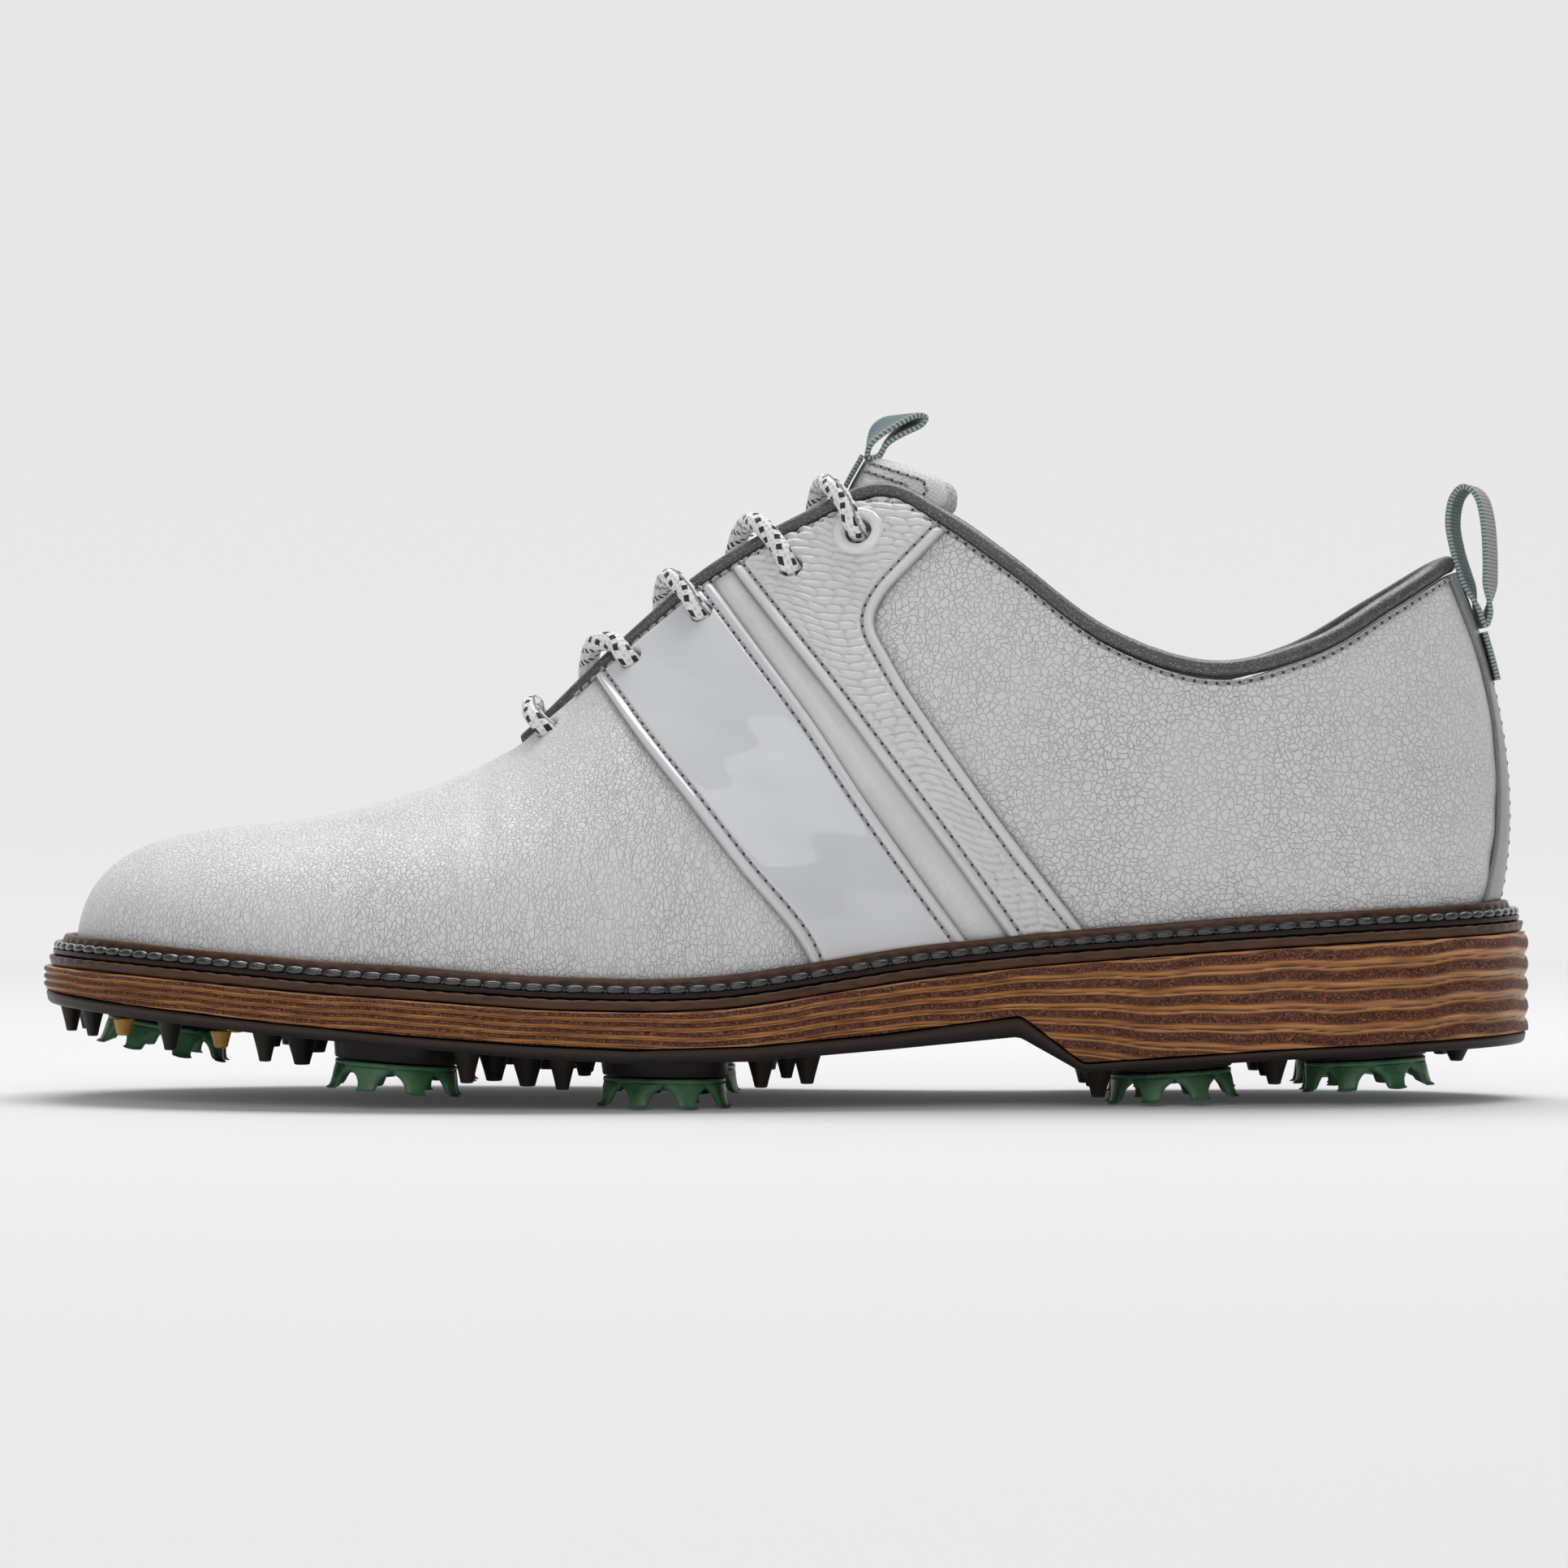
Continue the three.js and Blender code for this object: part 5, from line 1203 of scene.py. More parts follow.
def lace_run(side):
    """One half of the lace, from the lowest hole up to the end tucked under the flap."""
    path = []
    for k in range(5):
        path += through_hole(k, side, -1 if k == 4 else 1)
        if k < 4:
            path += crossing(k, side, side > 0)
            side = -side
    t, w = hole_at(4, side)
    end = [lace_point(t + dt, w + side * dw, under_depth) for dt, dw in ((0.1, 9), (0.15, 19))]
    return path + end


def centripetal(knots, per):
    """A centripetal spline through knots."""
    knots = np.array(knots, float)
    ends = np.vstack([2 * knots[0] - knots[1], knots, 2 * knots[-1] - knots[-2]])
    s = np.linspace(0, 1, per, endpoint=False)[:, None]
    out = []
    for i in range(len(knots) - 1):
        p0, p1, p2, p3 = ends[i:i + 4]
        a, b, d = (max(np.linalg.norm(q - p) ** 0.5, 1e-4) for p, q in ((p0, p1), (p1, p2), (p2, p3)))
        m1 = ((p1 - p0) / a - (p2 - p0) / (a + b) + (p2 - p1) / b) * b
        m2 = ((p2 - p1) / b - (p3 - p1) / (b + d) + (p3 - p2) / d) * b
        out.append(
            p1 * (2 * s**3 - 3 * s**2 + 1) + m1 * (s**3 - 2 * s**2 + s)
            + p2 * (3 * s**2 - 2 * s**3) + m2 * (s**3 - s**2)
        )
    return np.vstack([*out, knots[-1:]])


def lace():
    """Both halves and the straight bar between the lowest holes."""
    bar_t = HOLE_STATIONS[0] - 0.05
    half = section(round(bar_t, 5))[2]
    bar = [
        lace_point(bar_t, -half, over_depth - 0.3),
        lace_point(bar_t, 0, over_depth + 0.4),
        lace_point(bar_t, half, over_depth - 0.3),
    ]
    path = centripetal([*lace_run(-1)[::-1], *bar, *lace_run(1)], 12)
    path = resample(path, 0.45)
    vertices, faces, along, around = tube(path, LACE_RADIUS + LACE_SWELL, 20)
    build("lace_cord", vertices, faces, CORD_LOOK, slot="cord", replaces=["lace"],
          attributes={"along": along, "around": around})


lace()


# ---------- eyelets ----------
def lathe(outline, segments=48):
    """A closed ring turned about Z from (radius, height) points, outline anticlockwise."""
    a = np.linspace(0, 2 * math.pi, segments, endpoint=False)
    outline = np.array(outline, float)
    points = np.stack([
        outline[:, None, 0] * np.cos(a), outline[:, None, 0] * np.sin(a),
        outline[:, None, 1] * np.ones(segments),
    ], -1).reshape(-1, 3)
    return points, grid_faces(len(outline), segments, wrap_rows=True, wrap_columns=True)


def rounded(points, radius, steps=4):
    """A closed outline with each corner eased by a small curve."""
    p = np.array(points, float)
    out = []
    for i, q in enumerate(p):
        before, after = p[i - 1] - q, p[(i + 1) % len(p)] - q
        lb, la = np.linalg.norm(before), np.linalg.norm(after)
        r = min(radius, lb * 0.48, la * 0.48)
        start, end = q + before / lb * r, q + after / la * r
        for s in np.linspace(0, 1, steps):
            out.append(start * (1 - s) ** 2 + 2 * q * s * (1 - s) + end * s**2)
    return np.array(out)


def on_axis(points, origin, axis):
    """Points turned so that Z becomes the axis, then moved to the origin."""
    axis = unit(np.asarray(axis, float))
    turn_to = np.array(Vector((0, 0, 1)).rotation_difference(Vector(axis)).to_matrix())
    return points @ turn_to.T + origin


for side_name, sign in (("lateral", -1), ("medial", 1)):
    point, normal = instep(*hole_at(4, sign), 0.0)
    inner = EYELET_BARREL - 1.1
    ring = [
        (inner, -flap_depth), (EYELET_BARREL, -flap_depth), (EYELET_BARREL, 0.9), (5.15, 0.8),
        (5.15, 1.35), (4.7, 1.95), (inner + 0.75, 2.0), (inner, 1.3),
    ]
    vertices, faces = lathe(rounded(ring, 0.3), 64)
    build(f"eyelet_{side_name}_ring", on_axis(vertices, point, normal), faces, EYELET_LOOK,
          slot="eyelet_plastic", replaces=[f"eyelet_{side_name}"])


# ---------- lining, tongue and padding ----------
def lining_depth(t, v):
    toe = (TOE_PUFF + GAP) * (1 - smooth(3.6, 4.8, t))
    heel = (COUNTER + GAP) * smooth(13, 14, t) * (1 - smooth(0.5, 0.62, v))
    collar = COLLAR_PAD * smooth(10.6, 12.4, t) * smooth(0.5, 0.7, v) * (1 - smooth(0.78, 1.02, v))
    return LEATHER + GAP + toe + np.maximum(heel, collar)


def border(rows, columns):
    """Indices round the edge of a grid."""
    return np.concatenate([
        np.arange(columns), np.arange(1, rows) * columns + columns - 1,
        (rows - 1) * columns + np.arange(columns - 2, -1, -1), np.arange(rows - 2, 0, -1) * columns,
    ])


def sheet_faces(rows, columns):
    """Quads of a closed sheet with two grids of points, outer and inner."""
    faces, edge, count = grid_faces(rows, columns), border(rows, columns), rows * columns
    after = np.roll(edge, -1)
    rim = np.stack([after, edge, edge + count, after + count], 1)
    return np.vstack([faces, faces[:, ::-1] + count, rim])


def lining():
    """Soft inner skin with its two faces, open at the top and the bottom edge."""
    c = np.linspace(0, LOOP, 420, endpoint=False)
    v = np.linspace(0.02, 1.0, 70)
    cc, vv = np.meshgrid(c, v)
    base, n = upper_point(cc, vv), upper_normal(cc, vv)
    depth = lining_depth(station(cc), vv).ravel()
    pad = smooth(10.8, 12.6, station(cc).ravel()) * smooth(0.5, 0.7, vv.ravel())
    pucker = 0.25 * np.sin(cc.ravel() * 11) * pad
    outer = base - n * depth[:, None]
    inner = base - n * (depth + LINING + pucker)[:, None]
    faces = grid_faces(70, 420, wrap_columns=True)
    count = len(base)
    k = np.arange(420)
    top = 69 * 420
    rim = np.stack([top + k, top + (k + 1) % 420, count + top + (k + 1) % 420, count + top + k], 1)
    foot = np.stack([(k + 1) % 420, k, count + k, count + (k + 1) % 420], 1)
    build("lining_skin", np.vstack([outer, inner]), [np.vstack([faces, faces[:, ::-1] + count, rim, foot])],
          LINING_LOOK, slot="lining_textile", replaces=["lining"])


lining()


def shell_pad(name, c, v, near, far, node):
    """A crowned closed pad between two depths, thin at its edges."""
    cc, vv = np.meshgrid(c, v)
    base, n = upper_point(cc, vv), upper_normal(cc, vv)
    across = (vv - v[0]) / (v[-1] - v[0])
    ends = np.clip(np.minimum(cc - c[0], c[-1] - cc) / 0.8, 0, 1)
    crown = np.sqrt(np.clip(np.sin(math.pi * across) * np.sin(math.pi / 2 * ends), 0, 1)).ravel()
    deep = near + 0.1 + (far(station(cc), vv).ravel() - near - 0.2) * crown
    outer, inner = base - n * near, base - n * deep[:, None]
    piece = build(name, np.vstack([outer, inner]), sheet_faces(len(v), len(c)),
                  FOAM_LOOK, slot="foam", replaces=[node])


shell_pad("collar_padding", np.linspace(12, 24, 120), np.linspace(0.56, 0.85, 24), LEATHER + GAP,
          lambda t, v: lining_depth(t, v) - GAP, "collar_foam")

TONGUE_STATIONS = [4.9, 5.4, 5.9, 6.4, 7, 7.6, 8.2, 8.8, 9.3]
TONGUE_TOP = [(1.8, 5.5), (4.2, 11.5), (7.5, 17.5)]
TONGUE_ARC, TONGUE_DROP, TONGUE_ROOT_HALF, TONGUE_HEAD_HALF = 27.0, 8.6, 20.0, 13.5
TONGUE_HEAD_ARC, TONGUE_FLARE, TONGUE_GAP = 20.5, 4.5, 0.9
TONGUE_CURL = np.array([8.0, 0.0, -1.5])  # how far the head's corners turn back and droop
TONGUE_ROW = 0.9


def tongue_spine():
    """Middle points and half widths of the tongue's rows, root to head."""
    t = np.array(TONGUE_STATIONS)
    middle = (profile(t)[3] + profile(LOOP - t)[3]) / 2
    root = flap_depth + 3 * GAP
    middle[:, 2] -= root + (TONGUE_DROP - root) * smooth(5.1, 6.1, t)
    half = TONGUE_ROOT_HALF + (TONGUE_HEAD_HALF - TONGUE_ROOT_HALF) * smooth(5.5, 6.7, t)
    top = middle[-1] + np.array([(dx, 0, dz) for dx, dz in TONGUE_TOP])
    return np.column_stack([np.vstack([middle, top]), np.append(half, np.full(len(top), half[-1]))])


def tongue_layer(name, near, far, look, slot, node, crown=0.0, over=0.0):
    """One layer of the tongue between two depths; returns its rows."""
    spine = resample(smooth_line(tuple(map(tuple, tongue_spine())), 12), TONGUE_ROW)
    middle, half = spine[:, :3], spine[:, 3]
    head = unit(middle[-1] - middle[-2])
    if over:
        middle = np.vstack([middle, middle[-1:] + head * over])
        half = np.append(half, half[-1])
    step = np.gradient(middle, axis=0)
    up = unit(np.stack([-step[:, 2], np.zeros(len(step)), step[:, 0]], 1))
    from_head = np.linalg.norm(middle - middle[-1], axis=1)
    wings = 1 - smooth(4.0, 22.0, from_head)
    arc = TONGUE_ARC + (TONGUE_HEAD_ARC - TONGUE_ARC) * wings
    rounded_corner = 3.5 * (1 - quarter_round(from_head, 5))
    half = half + TONGUE_FLARE * wings - rounded_corner
    columns = np.linspace(-1, 1, 44)
    angle = np.arcsin(half / arc)[:, None] * columns

    def surface(extra, swell):
        r = arc[:, None] - extra + swell
        p = middle[:, None] + up[:, None] * (r * np.cos(angle) - arc[:, None])[..., None]
        p[..., 1] += r * np.sin(angle)
        return p + (wings[:, None] * columns**2)[..., None] * TONGUE_CURL

    ends = np.clip(np.minimum(from_head, from_head[0] - from_head) / 6.0, 0, 1)[:, None]
    soft = crown * (1 - np.abs(columns) ** 3) * np.sin(math.pi / 2 * ends)
    thin = 0.35 * (far - near) * (1 - np.clip((1 - np.abs(columns)) / 0.08, 0, 1) * np.clip(ends * 6, 0, 1))
    top, bottom = surface(near + thin, soft), surface(far - thin, 0.0)
    sections = np.concatenate([bottom, top[:, ::-1]], axis=1)
    rows, count = sections.shape[:2]
    faces = grid_faces(rows, count, wrap_columns=True)
    k = np.arange(43)
    cap = np.stack([k, count - 1 - k, count - 2 - k, k + 1], 1)
    last = (rows - 1) * count
    caps = np.vstack([cap, cap[:, ::-1] + last])
    faces = np.vstack([faces, caps])
    piece = build(name, sections, faces, look, body="tongue", slot=slot, replaces=[node])
    return middle, up, half, arc, wings


foam_near = TONGUE_SKIN + TONGUE_GAP
foam_far = foam_near + TONGUE_FOAM
back_near = foam_far + TONGUE_GAP
tongue_rows = tongue_layer(
    "tongue_skin", 0.0, TONGUE_SKIN, TONGUE_LOOK, "tongue_textile", "tongue", over=0.8
)
tongue_layer("tongue_padding", foam_near, foam_far, FOAM_LOOK, "foam", "tongue_foam", crown=0.12)
tongue_layer("tongue_back", back_near, back_near + TONGUE_SKIN, LINING_LOOK, "lining_textile",
             "tongue_lining", over=0.8)


def tongue_stitches():
    """Rows of stitches round the head of the tongue and across it."""
    middle, up, half, arc, wings = tongue_rows

    def across(row, angle):
        n = up[row] * math.cos(angle) + np.array([0, math.sin(angle), 0])
        p = middle[row] - up[row] * arc[row] + n * (arc[row] + 0.05)
        curl = wings[row] * (angle / math.asin(half[row] / arc[row])) ** 2
        return np.concatenate([p + curl * TONGUE_CURL, n])

    lines = []
    clear = math.asin(8.0 / TONGUE_ARC)  # the rows stop short of the pull loop
    for side in (1, -1):
        for inset in (1.5, 3.4):
            last = len(middle) - 1 - round(inset / TONGUE_ROW)
            rows = range(len(middle) - 34, last + 1)
            edge = [math.asin(min((half[r] - inset) / arc[r], 0.98)) for r in rows]
            up_side = [across(r, side * a) for r, a in zip(rows, edge)]
            over = [across(last, side * a) for a in np.linspace(edge[-1], clear, 14)[1:]]
            lines.append(np.array(up_side + over))
        row = len(middle) - 9
        reach = math.asin(min((half[row] - 4) / arc[row], 0.98))
        lines.append(np.array([across(row, side * a) for a in np.linspace(reach, clear, 12)]))
    add_stitches("tongue_stitches", lines, body="tongue")


tongue_stitches()


# ---------- pull loops ----------
RIBBON, RIBBON_WIDTH = 1.3, 12.0
# Middle lines of the loops in the side view; the tongue's is from the top of its head.
HEEL_LOOP = (
    (141.3, 95.4), (142.2, 98.6), (142.5, 103.5), (142.5, 110), (142.0, 116.5), (140.7, 121.2),
    (138.1, 123.1), (135.8, 120.8), (135.0, 116), (135.8, 111), (137.1, 106.6), (139.4, 99.9),
    (140.4, 96.2),
)
TONGUE_LOOP = (
    (0.5, 0.1), (0.7, 2.2), (2.2, 4.7), (4.6, 7.0), (7.3, 8.4), (9.0, 8.0), (8.8, 6.4), (6.6, 4.9),
    (4.3, 3.0), (2.5, 0.3),
)


def ribbon(name, line, middle_y, body, node, closed=True, thickness=RIBBON, outer_side=1.0, lean=0.0):
    """A ribbed ribbon along a side-view line, with rounded edges."""
    line = np.array(line, float)
    if closed:
        p = np.vstack([line[-1:], line, line[:2]])
        t = np.linspace(0, 1, 24, endpoint=False)[:, None]
        line = np.vstack([catmull(p[i - 1], p[i], p[i + 1], p[i + 2], t) for i in range(1, len(p) - 2)])
    else:
        line = smooth_line(tuple(map(tuple, line)), 24)
    count = len(line)
    d = np.roll(line, -1, 0) - np.roll(line, 1, 0) if closed else np.gradient(line, axis=0)
    d = unit(d)
    n = np.stack([d[:, 1], -d[:, 0]], 1)
    lengths = travel(line)
    ribs = 0.06 * np.sin(lengths * 2 * math.pi / RIB_PITCH)
    w, h = RIBBON_WIDTH / 2, thickness / 2 * 0.8
    outline = rounded([(-w, -h), (w, -h), (w, h), (-w, h)], 0.28, 3)
    after = np.roll(outline, -1, 0)
    outline = np.vstack([resample(np.vstack(pair), 1.0)[:-1] for pair in zip(outline, after)])
    sides = len(outline)
    across = outline[None, :, 1] + np.sign(outline[None, :, 1]) * ribs[:, None]
    points = np.zeros((count, sides, 3))
    points[..., 0] = line[:, None, 0] + n[:, None, 0] * across
    points[..., 2] = line[:, None, 1] + n[:, None, 1] * across
    points[..., 1] = middle_y + outline[None, :, 0]
    rise = smooth(line[:, 1].min() + 1.5, line[:, 1].min() + 9.0, line[:, 1])[:, None]
    points[..., 0] += lean * outline[None, :, 0] * rise
    faces = grid_faces(count, sides, wrap_rows=closed, wrap_columns=True)
    inside = np.repeat((outline[None, :, 1] * outer_side < 0).astype(float), count, 0)
    edge = np.repeat((np.abs(outline[None, :, 0]) > w - 0.7).astype(float), count, 0)
    build(name, points, faces, RIBBON_LOOK, body=body, slot="ribbon", replaces=[node],
          attributes={"along": np.repeat(lengths, sides), "inside": inside, "edge": edge})


ribbon("heel_loop_ribbon", HEEL_LOOP, 0.0, "heel_pull_loop", "heel_pull_loop", outer_side=-1.0, lean=0.3)
head = tongue_spine()[-1]
ribbon("tongue_loop_ribbon", [(head[0] + dx, head[2] + dz) for dx, dz in TONGUE_LOOP][::-1], head[1],
       "tongue_pull_loop", "tongue_pull_loop", outer_side=1.0, lean=-0.55)
spine = tongue_spine()[-3:]
slope = unit(np.gradient(spine[:, [0, 2]], axis=0))
front = spine[:, [0, 2]] + np.stack([-slope[:, 1], slope[:, 0]], 1) * 0.85
ribbon("tongue_tab_ribbon", front, head[1], "tongue", "tongue_loop_tab", closed=False, thickness=1.1)
tab = last_point(np.full(6, 18.0), np.linspace(0.63, 0.765, 6))
ribbon("heel_tab_ribbon", [(p[0] + 1.05, p[2] + 0.25) for p in tab], 0.0, "shoe", "heel_loop_tab",
       closed=False)


# ---------- sole ----------
def platform(x):
    return level(WELT_TOP, x) - LIP_HEIGHT


def strip_top(x):
    return platform(x) - WELT_THICKNESS - GAP


def stack_top(x):
    return strip_top(x) - STRIP_THICKNESS - GAP


def stack_bottom(x):
    return level(STACK_BOTTOM, x, 0.8)


def sole_bottom(x):
    return level(SOLE_BOTTOM, x, 0.8)


def outline_samples(pitch):
    """Loop coordinates at an even pitch round the welt, with the distance travelled."""
    c = np.linspace(0, LOOP, 4000, endpoint=False)
    p = outline_at(c, STACK_OUT)
    step = np.linalg.norm(np.roll(p, -1, 0) - p, axis=1)
    total = step.sum()
    count = int(total / pitch)
    at = np.linspace(0, total, count, endpoint=False)
    lengths = np.concatenate([[0], np.cumsum(step)])
    return np.interp(at, lengths, np.append(c, LOOP)), at


def outline_at(c, out):
    return loop_rows(c)[:, :2] + outward(c) * np.asarray(out).reshape(-1, 1)


def hoop(name, section_points, base, node, extra, painted_light):
    """A leather band round the shoe from a closed (out, up) section over a base height."""
    c, travelled = outline_samples(0.6)
    rings = []
    for out, up in section_points:
        more_out, more_up = extra(travelled, out, up)
        xy = outline_at(c, np.full(len(c), out) + more_out)
        rings.append(np.column_stack([xy, base(xy[:, 0]) + up + more_up]))
    faces = grid_faces(len(rings), len(c), wrap_rows=True, wrap_columns=True)
    # Painted shade and painted highlight for each ring of the section.
    shade, painted_highlight = zip(*(painted_light(out, up) for out, up in section_points))
    build(name, np.vstack(rings), faces, WELT_LOOK, slot="welt_leather", replaces=[node],
          attributes={"shade": np.repeat(shade, len(c)), "painted_light": np.repeat(painted_highlight, len(c))})


welt_section = rounded([
    (WELT_OUT, -WELT_THICKNESS), (WELT_OUT, 0.05), (WELT_OUT - 0.35, 0.0), (2.75, -0.35),
    (LIP_OUT + 0.3, 0.1), (LIP_OUT + 0.25, LIP_HEIGHT * 0.5), (LIP_OUT - 0.1, LIP_HEIGHT),
    (1.2, LIP_HEIGHT + 0.05), (0.8, 0.3),
    (RING_IN, 0.0), (RING_IN, -WELT_THICKNESS),
], 0.5, 4)


def welt_waves(travelled, out, up):
    """The lip is pulled in a little at each stitch."""
    pull = np.sin(travelled * 2 * math.pi / 4.0)
    slow = np.sin(travelled / 13.0) + 0.6 * np.sin(travelled / 5.3 + 1)
    on_lip = float(1.0 < out < 3.2 and up > 0.3)
    crest = float(abs(up - 1.5) < 0.9 and out > 1.8)
    return on_lip * (0.05 * slow) + crest * 0.12 * pull, on_lip * 0.08 * slow


def welt_shade_and_highlight(out, up):
    # Painted shade in the groove under the lip and a painted highlight on the lip's top.
    groove = float(out > 2.0 and up < 0.9)
    top = float(up > 2.2)
    return 0.8 * groove, 1.0 * top + 0.2


hoop("storm_welt_skin", welt_section, platform, "storm_welt", welt_waves, welt_shade_and_highlight)


def welt_stitches():
    """Fat waxed stitches lying in the groove of the welt."""
    c, _ = outline_samples(4.0)
    xy = outline_at(c, GROOVE_OUT + 0.15)
    p = np.column_stack([xy, platform(xy[:, 0]) + 0.72])
    d = np.roll(p, -1, 0) - np.roll(p, 1, 0)
    n = np.column_stack([outward(c) * 0.8, np.full(len(c), 0.6)])
    bead = pills(p, d, n, 3.75, 0.92, 14, 12, slant=0.05)
    under_c, _ = outline_samples(1.5)
    xy = outline_at(under_c, GROOVE_OUT - 0.1)
    line = np.column_stack([xy, platform(xy[:, 0]) + 0.35])
    cord_v, cord_f, _, _ = tube(np.vstack([line, line[:1]]), 0.42, 8)
    points, faces = join([bead, (cord_v, cord_f)])
    build("welt_thread_stitches", points, faces, BEAD_LOOK, slot="thread", replaces=["welt_thread"])


welt_stitches()

strip_section = rounded([
    (STRIP_OUT, -STRIP_THICKNESS), (STRIP_OUT + 0.05, 0.0), (RING_IN, 0.0), (RING_IN, -STRIP_THICKNESS),
], 0.45, 5)


def strip_waves(travelled, out, up):
    slow = np.sin(travelled / 9.0) + 0.7 * np.sin(travelled / 3.1 + 2)
    scallop = np.abs(np.sin(travelled * math.pi / 4.0)) * (up > -0.5) * (out > 3)
    return 0.06 * slow * (out > 0) + 0.22 * scallop, 0.16 * scallop


def strip_highlight(out, up):
    # Painted highlight along the strip's top outer edge.
    return 0.0, 1.0 * (up > -0.4 and out > 4) + 0.6


hoop("welt_strip_skin", strip_section, strip_top, "welt_strip", strip_waves, strip_highlight)


def ridge_pitch(x):
    """The ridges lie closer together in the thin front of the stack."""
    return 1.5 + 0.6 * smooth(-60, 25, x) + 2.1 * smooth(15, 112, x)


def cap_faces(count, base, upward):
    """Quads that close a ring of points by joining its two sides."""
    half = count // 2
    i = np.arange(half)
    quads = np.stack([i, i + 1, (count - i - 1) % count, (count - i) % count], 1)
    quads = quads[1:-1] if count % 2 == 0 else quads[1:]
    tip = np.array([[0, 1, count - 1]])
    if not upward:
        quads, tip = quads[:, ::-1], tip[:, ::-1]
    return [quads + base, tip + base]


def midsole():
    """The stack: smooth ridges with rough bands between them, from the welt down."""
    c, travelled = outline_samples(0.85)
    count = len(c)
    centre = outline_at(c, STACK_OUT)
    x = centre[:, 0]
    top, bottom = stack_top(x), stack_bottom(x)
    pitch = ridge_pitch(x)
    depth = top - bottom
    relief = 0.55 + 0.11 * pitch
    steps = np.linspace(0, 7.6, 91)  # in ridges; deeper ones stop at the bottom
    rings, bands, shades, lights = [], [], [], []
    wander = 0.08 * np.sin(travelled / 7.0) + 0.05 * np.sin(travelled / 2.9)
    for q in steps[::-1]:
        below = np.minimum(q * pitch, depth)
        phase = np.mod(below / pitch + wander, 1.0)
        crest = np.clip(np.sin(math.pi * phase), 0, 1) ** 0.6
        band = smooth(0.08, 0.17, phase) * (1 - smooth(0.58, 0.70, phase))
        # Painted shade: a dark line under each ridge and the ridge's down-facing side.
        shade = 0.8 * bell(phase - 0.965, 0.03) + 0.25 * smooth(0.74, 0.95, phase)
        rough = 0.10 * np.sin(travelled * 2.9 + q * 21) * np.sin(travelled * 1.37 + q * 7) * band
        out = STACK_OUT - relief * (1 - crest) + 0.1 + rough
        xy = outline_at(c, out)
        rings.append(np.column_stack([xy, top - below]))
        bands.append(band)
        shades.append(shade)
        # Painted highlight on the upper edge of each fibre band.
        lights.append(0.85 * bell(phase - 0.06, 0.045))
    rings.append(np.column_stack([outline_at(c, 0.0), top]))
    bands.append(np.ones(count))
    shades.append(np.zeros(count))
    lights.append(np.zeros(count))
    faces = grid_faces(len(rings), count, wrap_columns=True)
    flip = cap_faces(count, 0, upward=False)
    lid = cap_faces(count, (len(rings) - 1) * count, upward=True)
    quads = np.vstack([faces, flip[0], lid[0]])
    build("midsole_stack", np.vstack(rings), [quads, np.vstack([flip[1], lid[1]])], STACK_LOOK, slot="stack",
          replaces=["midsole"], attributes={
              "band": np.concatenate(bands), "shade": np.concatenate(shades), "painted_light": np.concatenate(lights),
          })


midsole()

# ---------- outsole and cleats ----------
# name, x, y, height of the foot plane, tilt in degrees
CLEATS = [
    ("toe", -125, -3, 9.6, 9.6), ("fore_lateral_front", -76.5, -33, 3.0, 4.2),
    ("fore_lateral_rear", -23.5, -35, 0.2, 0.8), ("fore_medial_front", -76.5, 29, 3.0, 4.2),
    ("fore_medial_rear", -22, 23, 0.2, 0.8), ("heel_lateral_front", 77, -20.5, 0.8, -3.3),
    ("heel_lateral_rear", 115.8, -18, 3.0, -3.3), ("heel_medial_front", 79, 17, 0.9, -3.3),
    ("heel_medial_rear", 116.8, 15, 3.05, -3.3),
]
# x, y, height, radius
NUBS = [
    (-143.5, -2, 5, 2.2), (-138, -13, 5, 2.2), (-142, 12, 5, 2.2), (-135, 21, 5, 2.2),
    (-121, -28, 5.5, 2.4), (-101.5, -37, 5.5, 2.4), (-95, -28, 6, 3.2), (-126, 30, 5.5, 2.4),
    (-103, 35, 5.5, 2.4), (-96, 24, 6, 3.2), (-104, -10, 5, 2.6), (-104, 12, 5, 2.6),
    (-84, -6, 5, 2.6), (-61.5, -47, 6, 2.6), (-57, -31, 6, 3.2), (-50, -41, 6, 3.2),
    (-43, -46, 6, 2.6), (-57, 38, 6, 3.2), (-49, 30, 6, 3.2), (-44, 40, 6, 2.6),
    (-58, 3, 5, 2.6), (-40, -8, 5, 2.6), (-40, 8, 5, 2.6), (-4.5, -41, 5.5, 2.6),
    (0.5, -31, 4.5, 2.2), (4.5, -40, 5.5, 2.6), (-3, 30, 5.5, 2.6), (4, 22, 5, 2.6),
    (61.8, -31, 5.2, 2.7), (62, 26, 5.2, 2.7), (62, -3, 4.5, 2.4), (96.5, -30, 4.8, 2.6),
    (97, 27, 4.8, 2.6), (97, -2, 4.5, 2.4), (134, -15, 2.5, 2.6), (134, 14, 2.5, 2.6),
]


def cleat_frame(x, y, foot, tilt):
    a = math.radians(tilt)
    axis = np.array([math.sin(a), 0.0, math.cos(a)])
    return np.array([x, y, foot], float) + axis * CLEAT_HEIGHT, axis


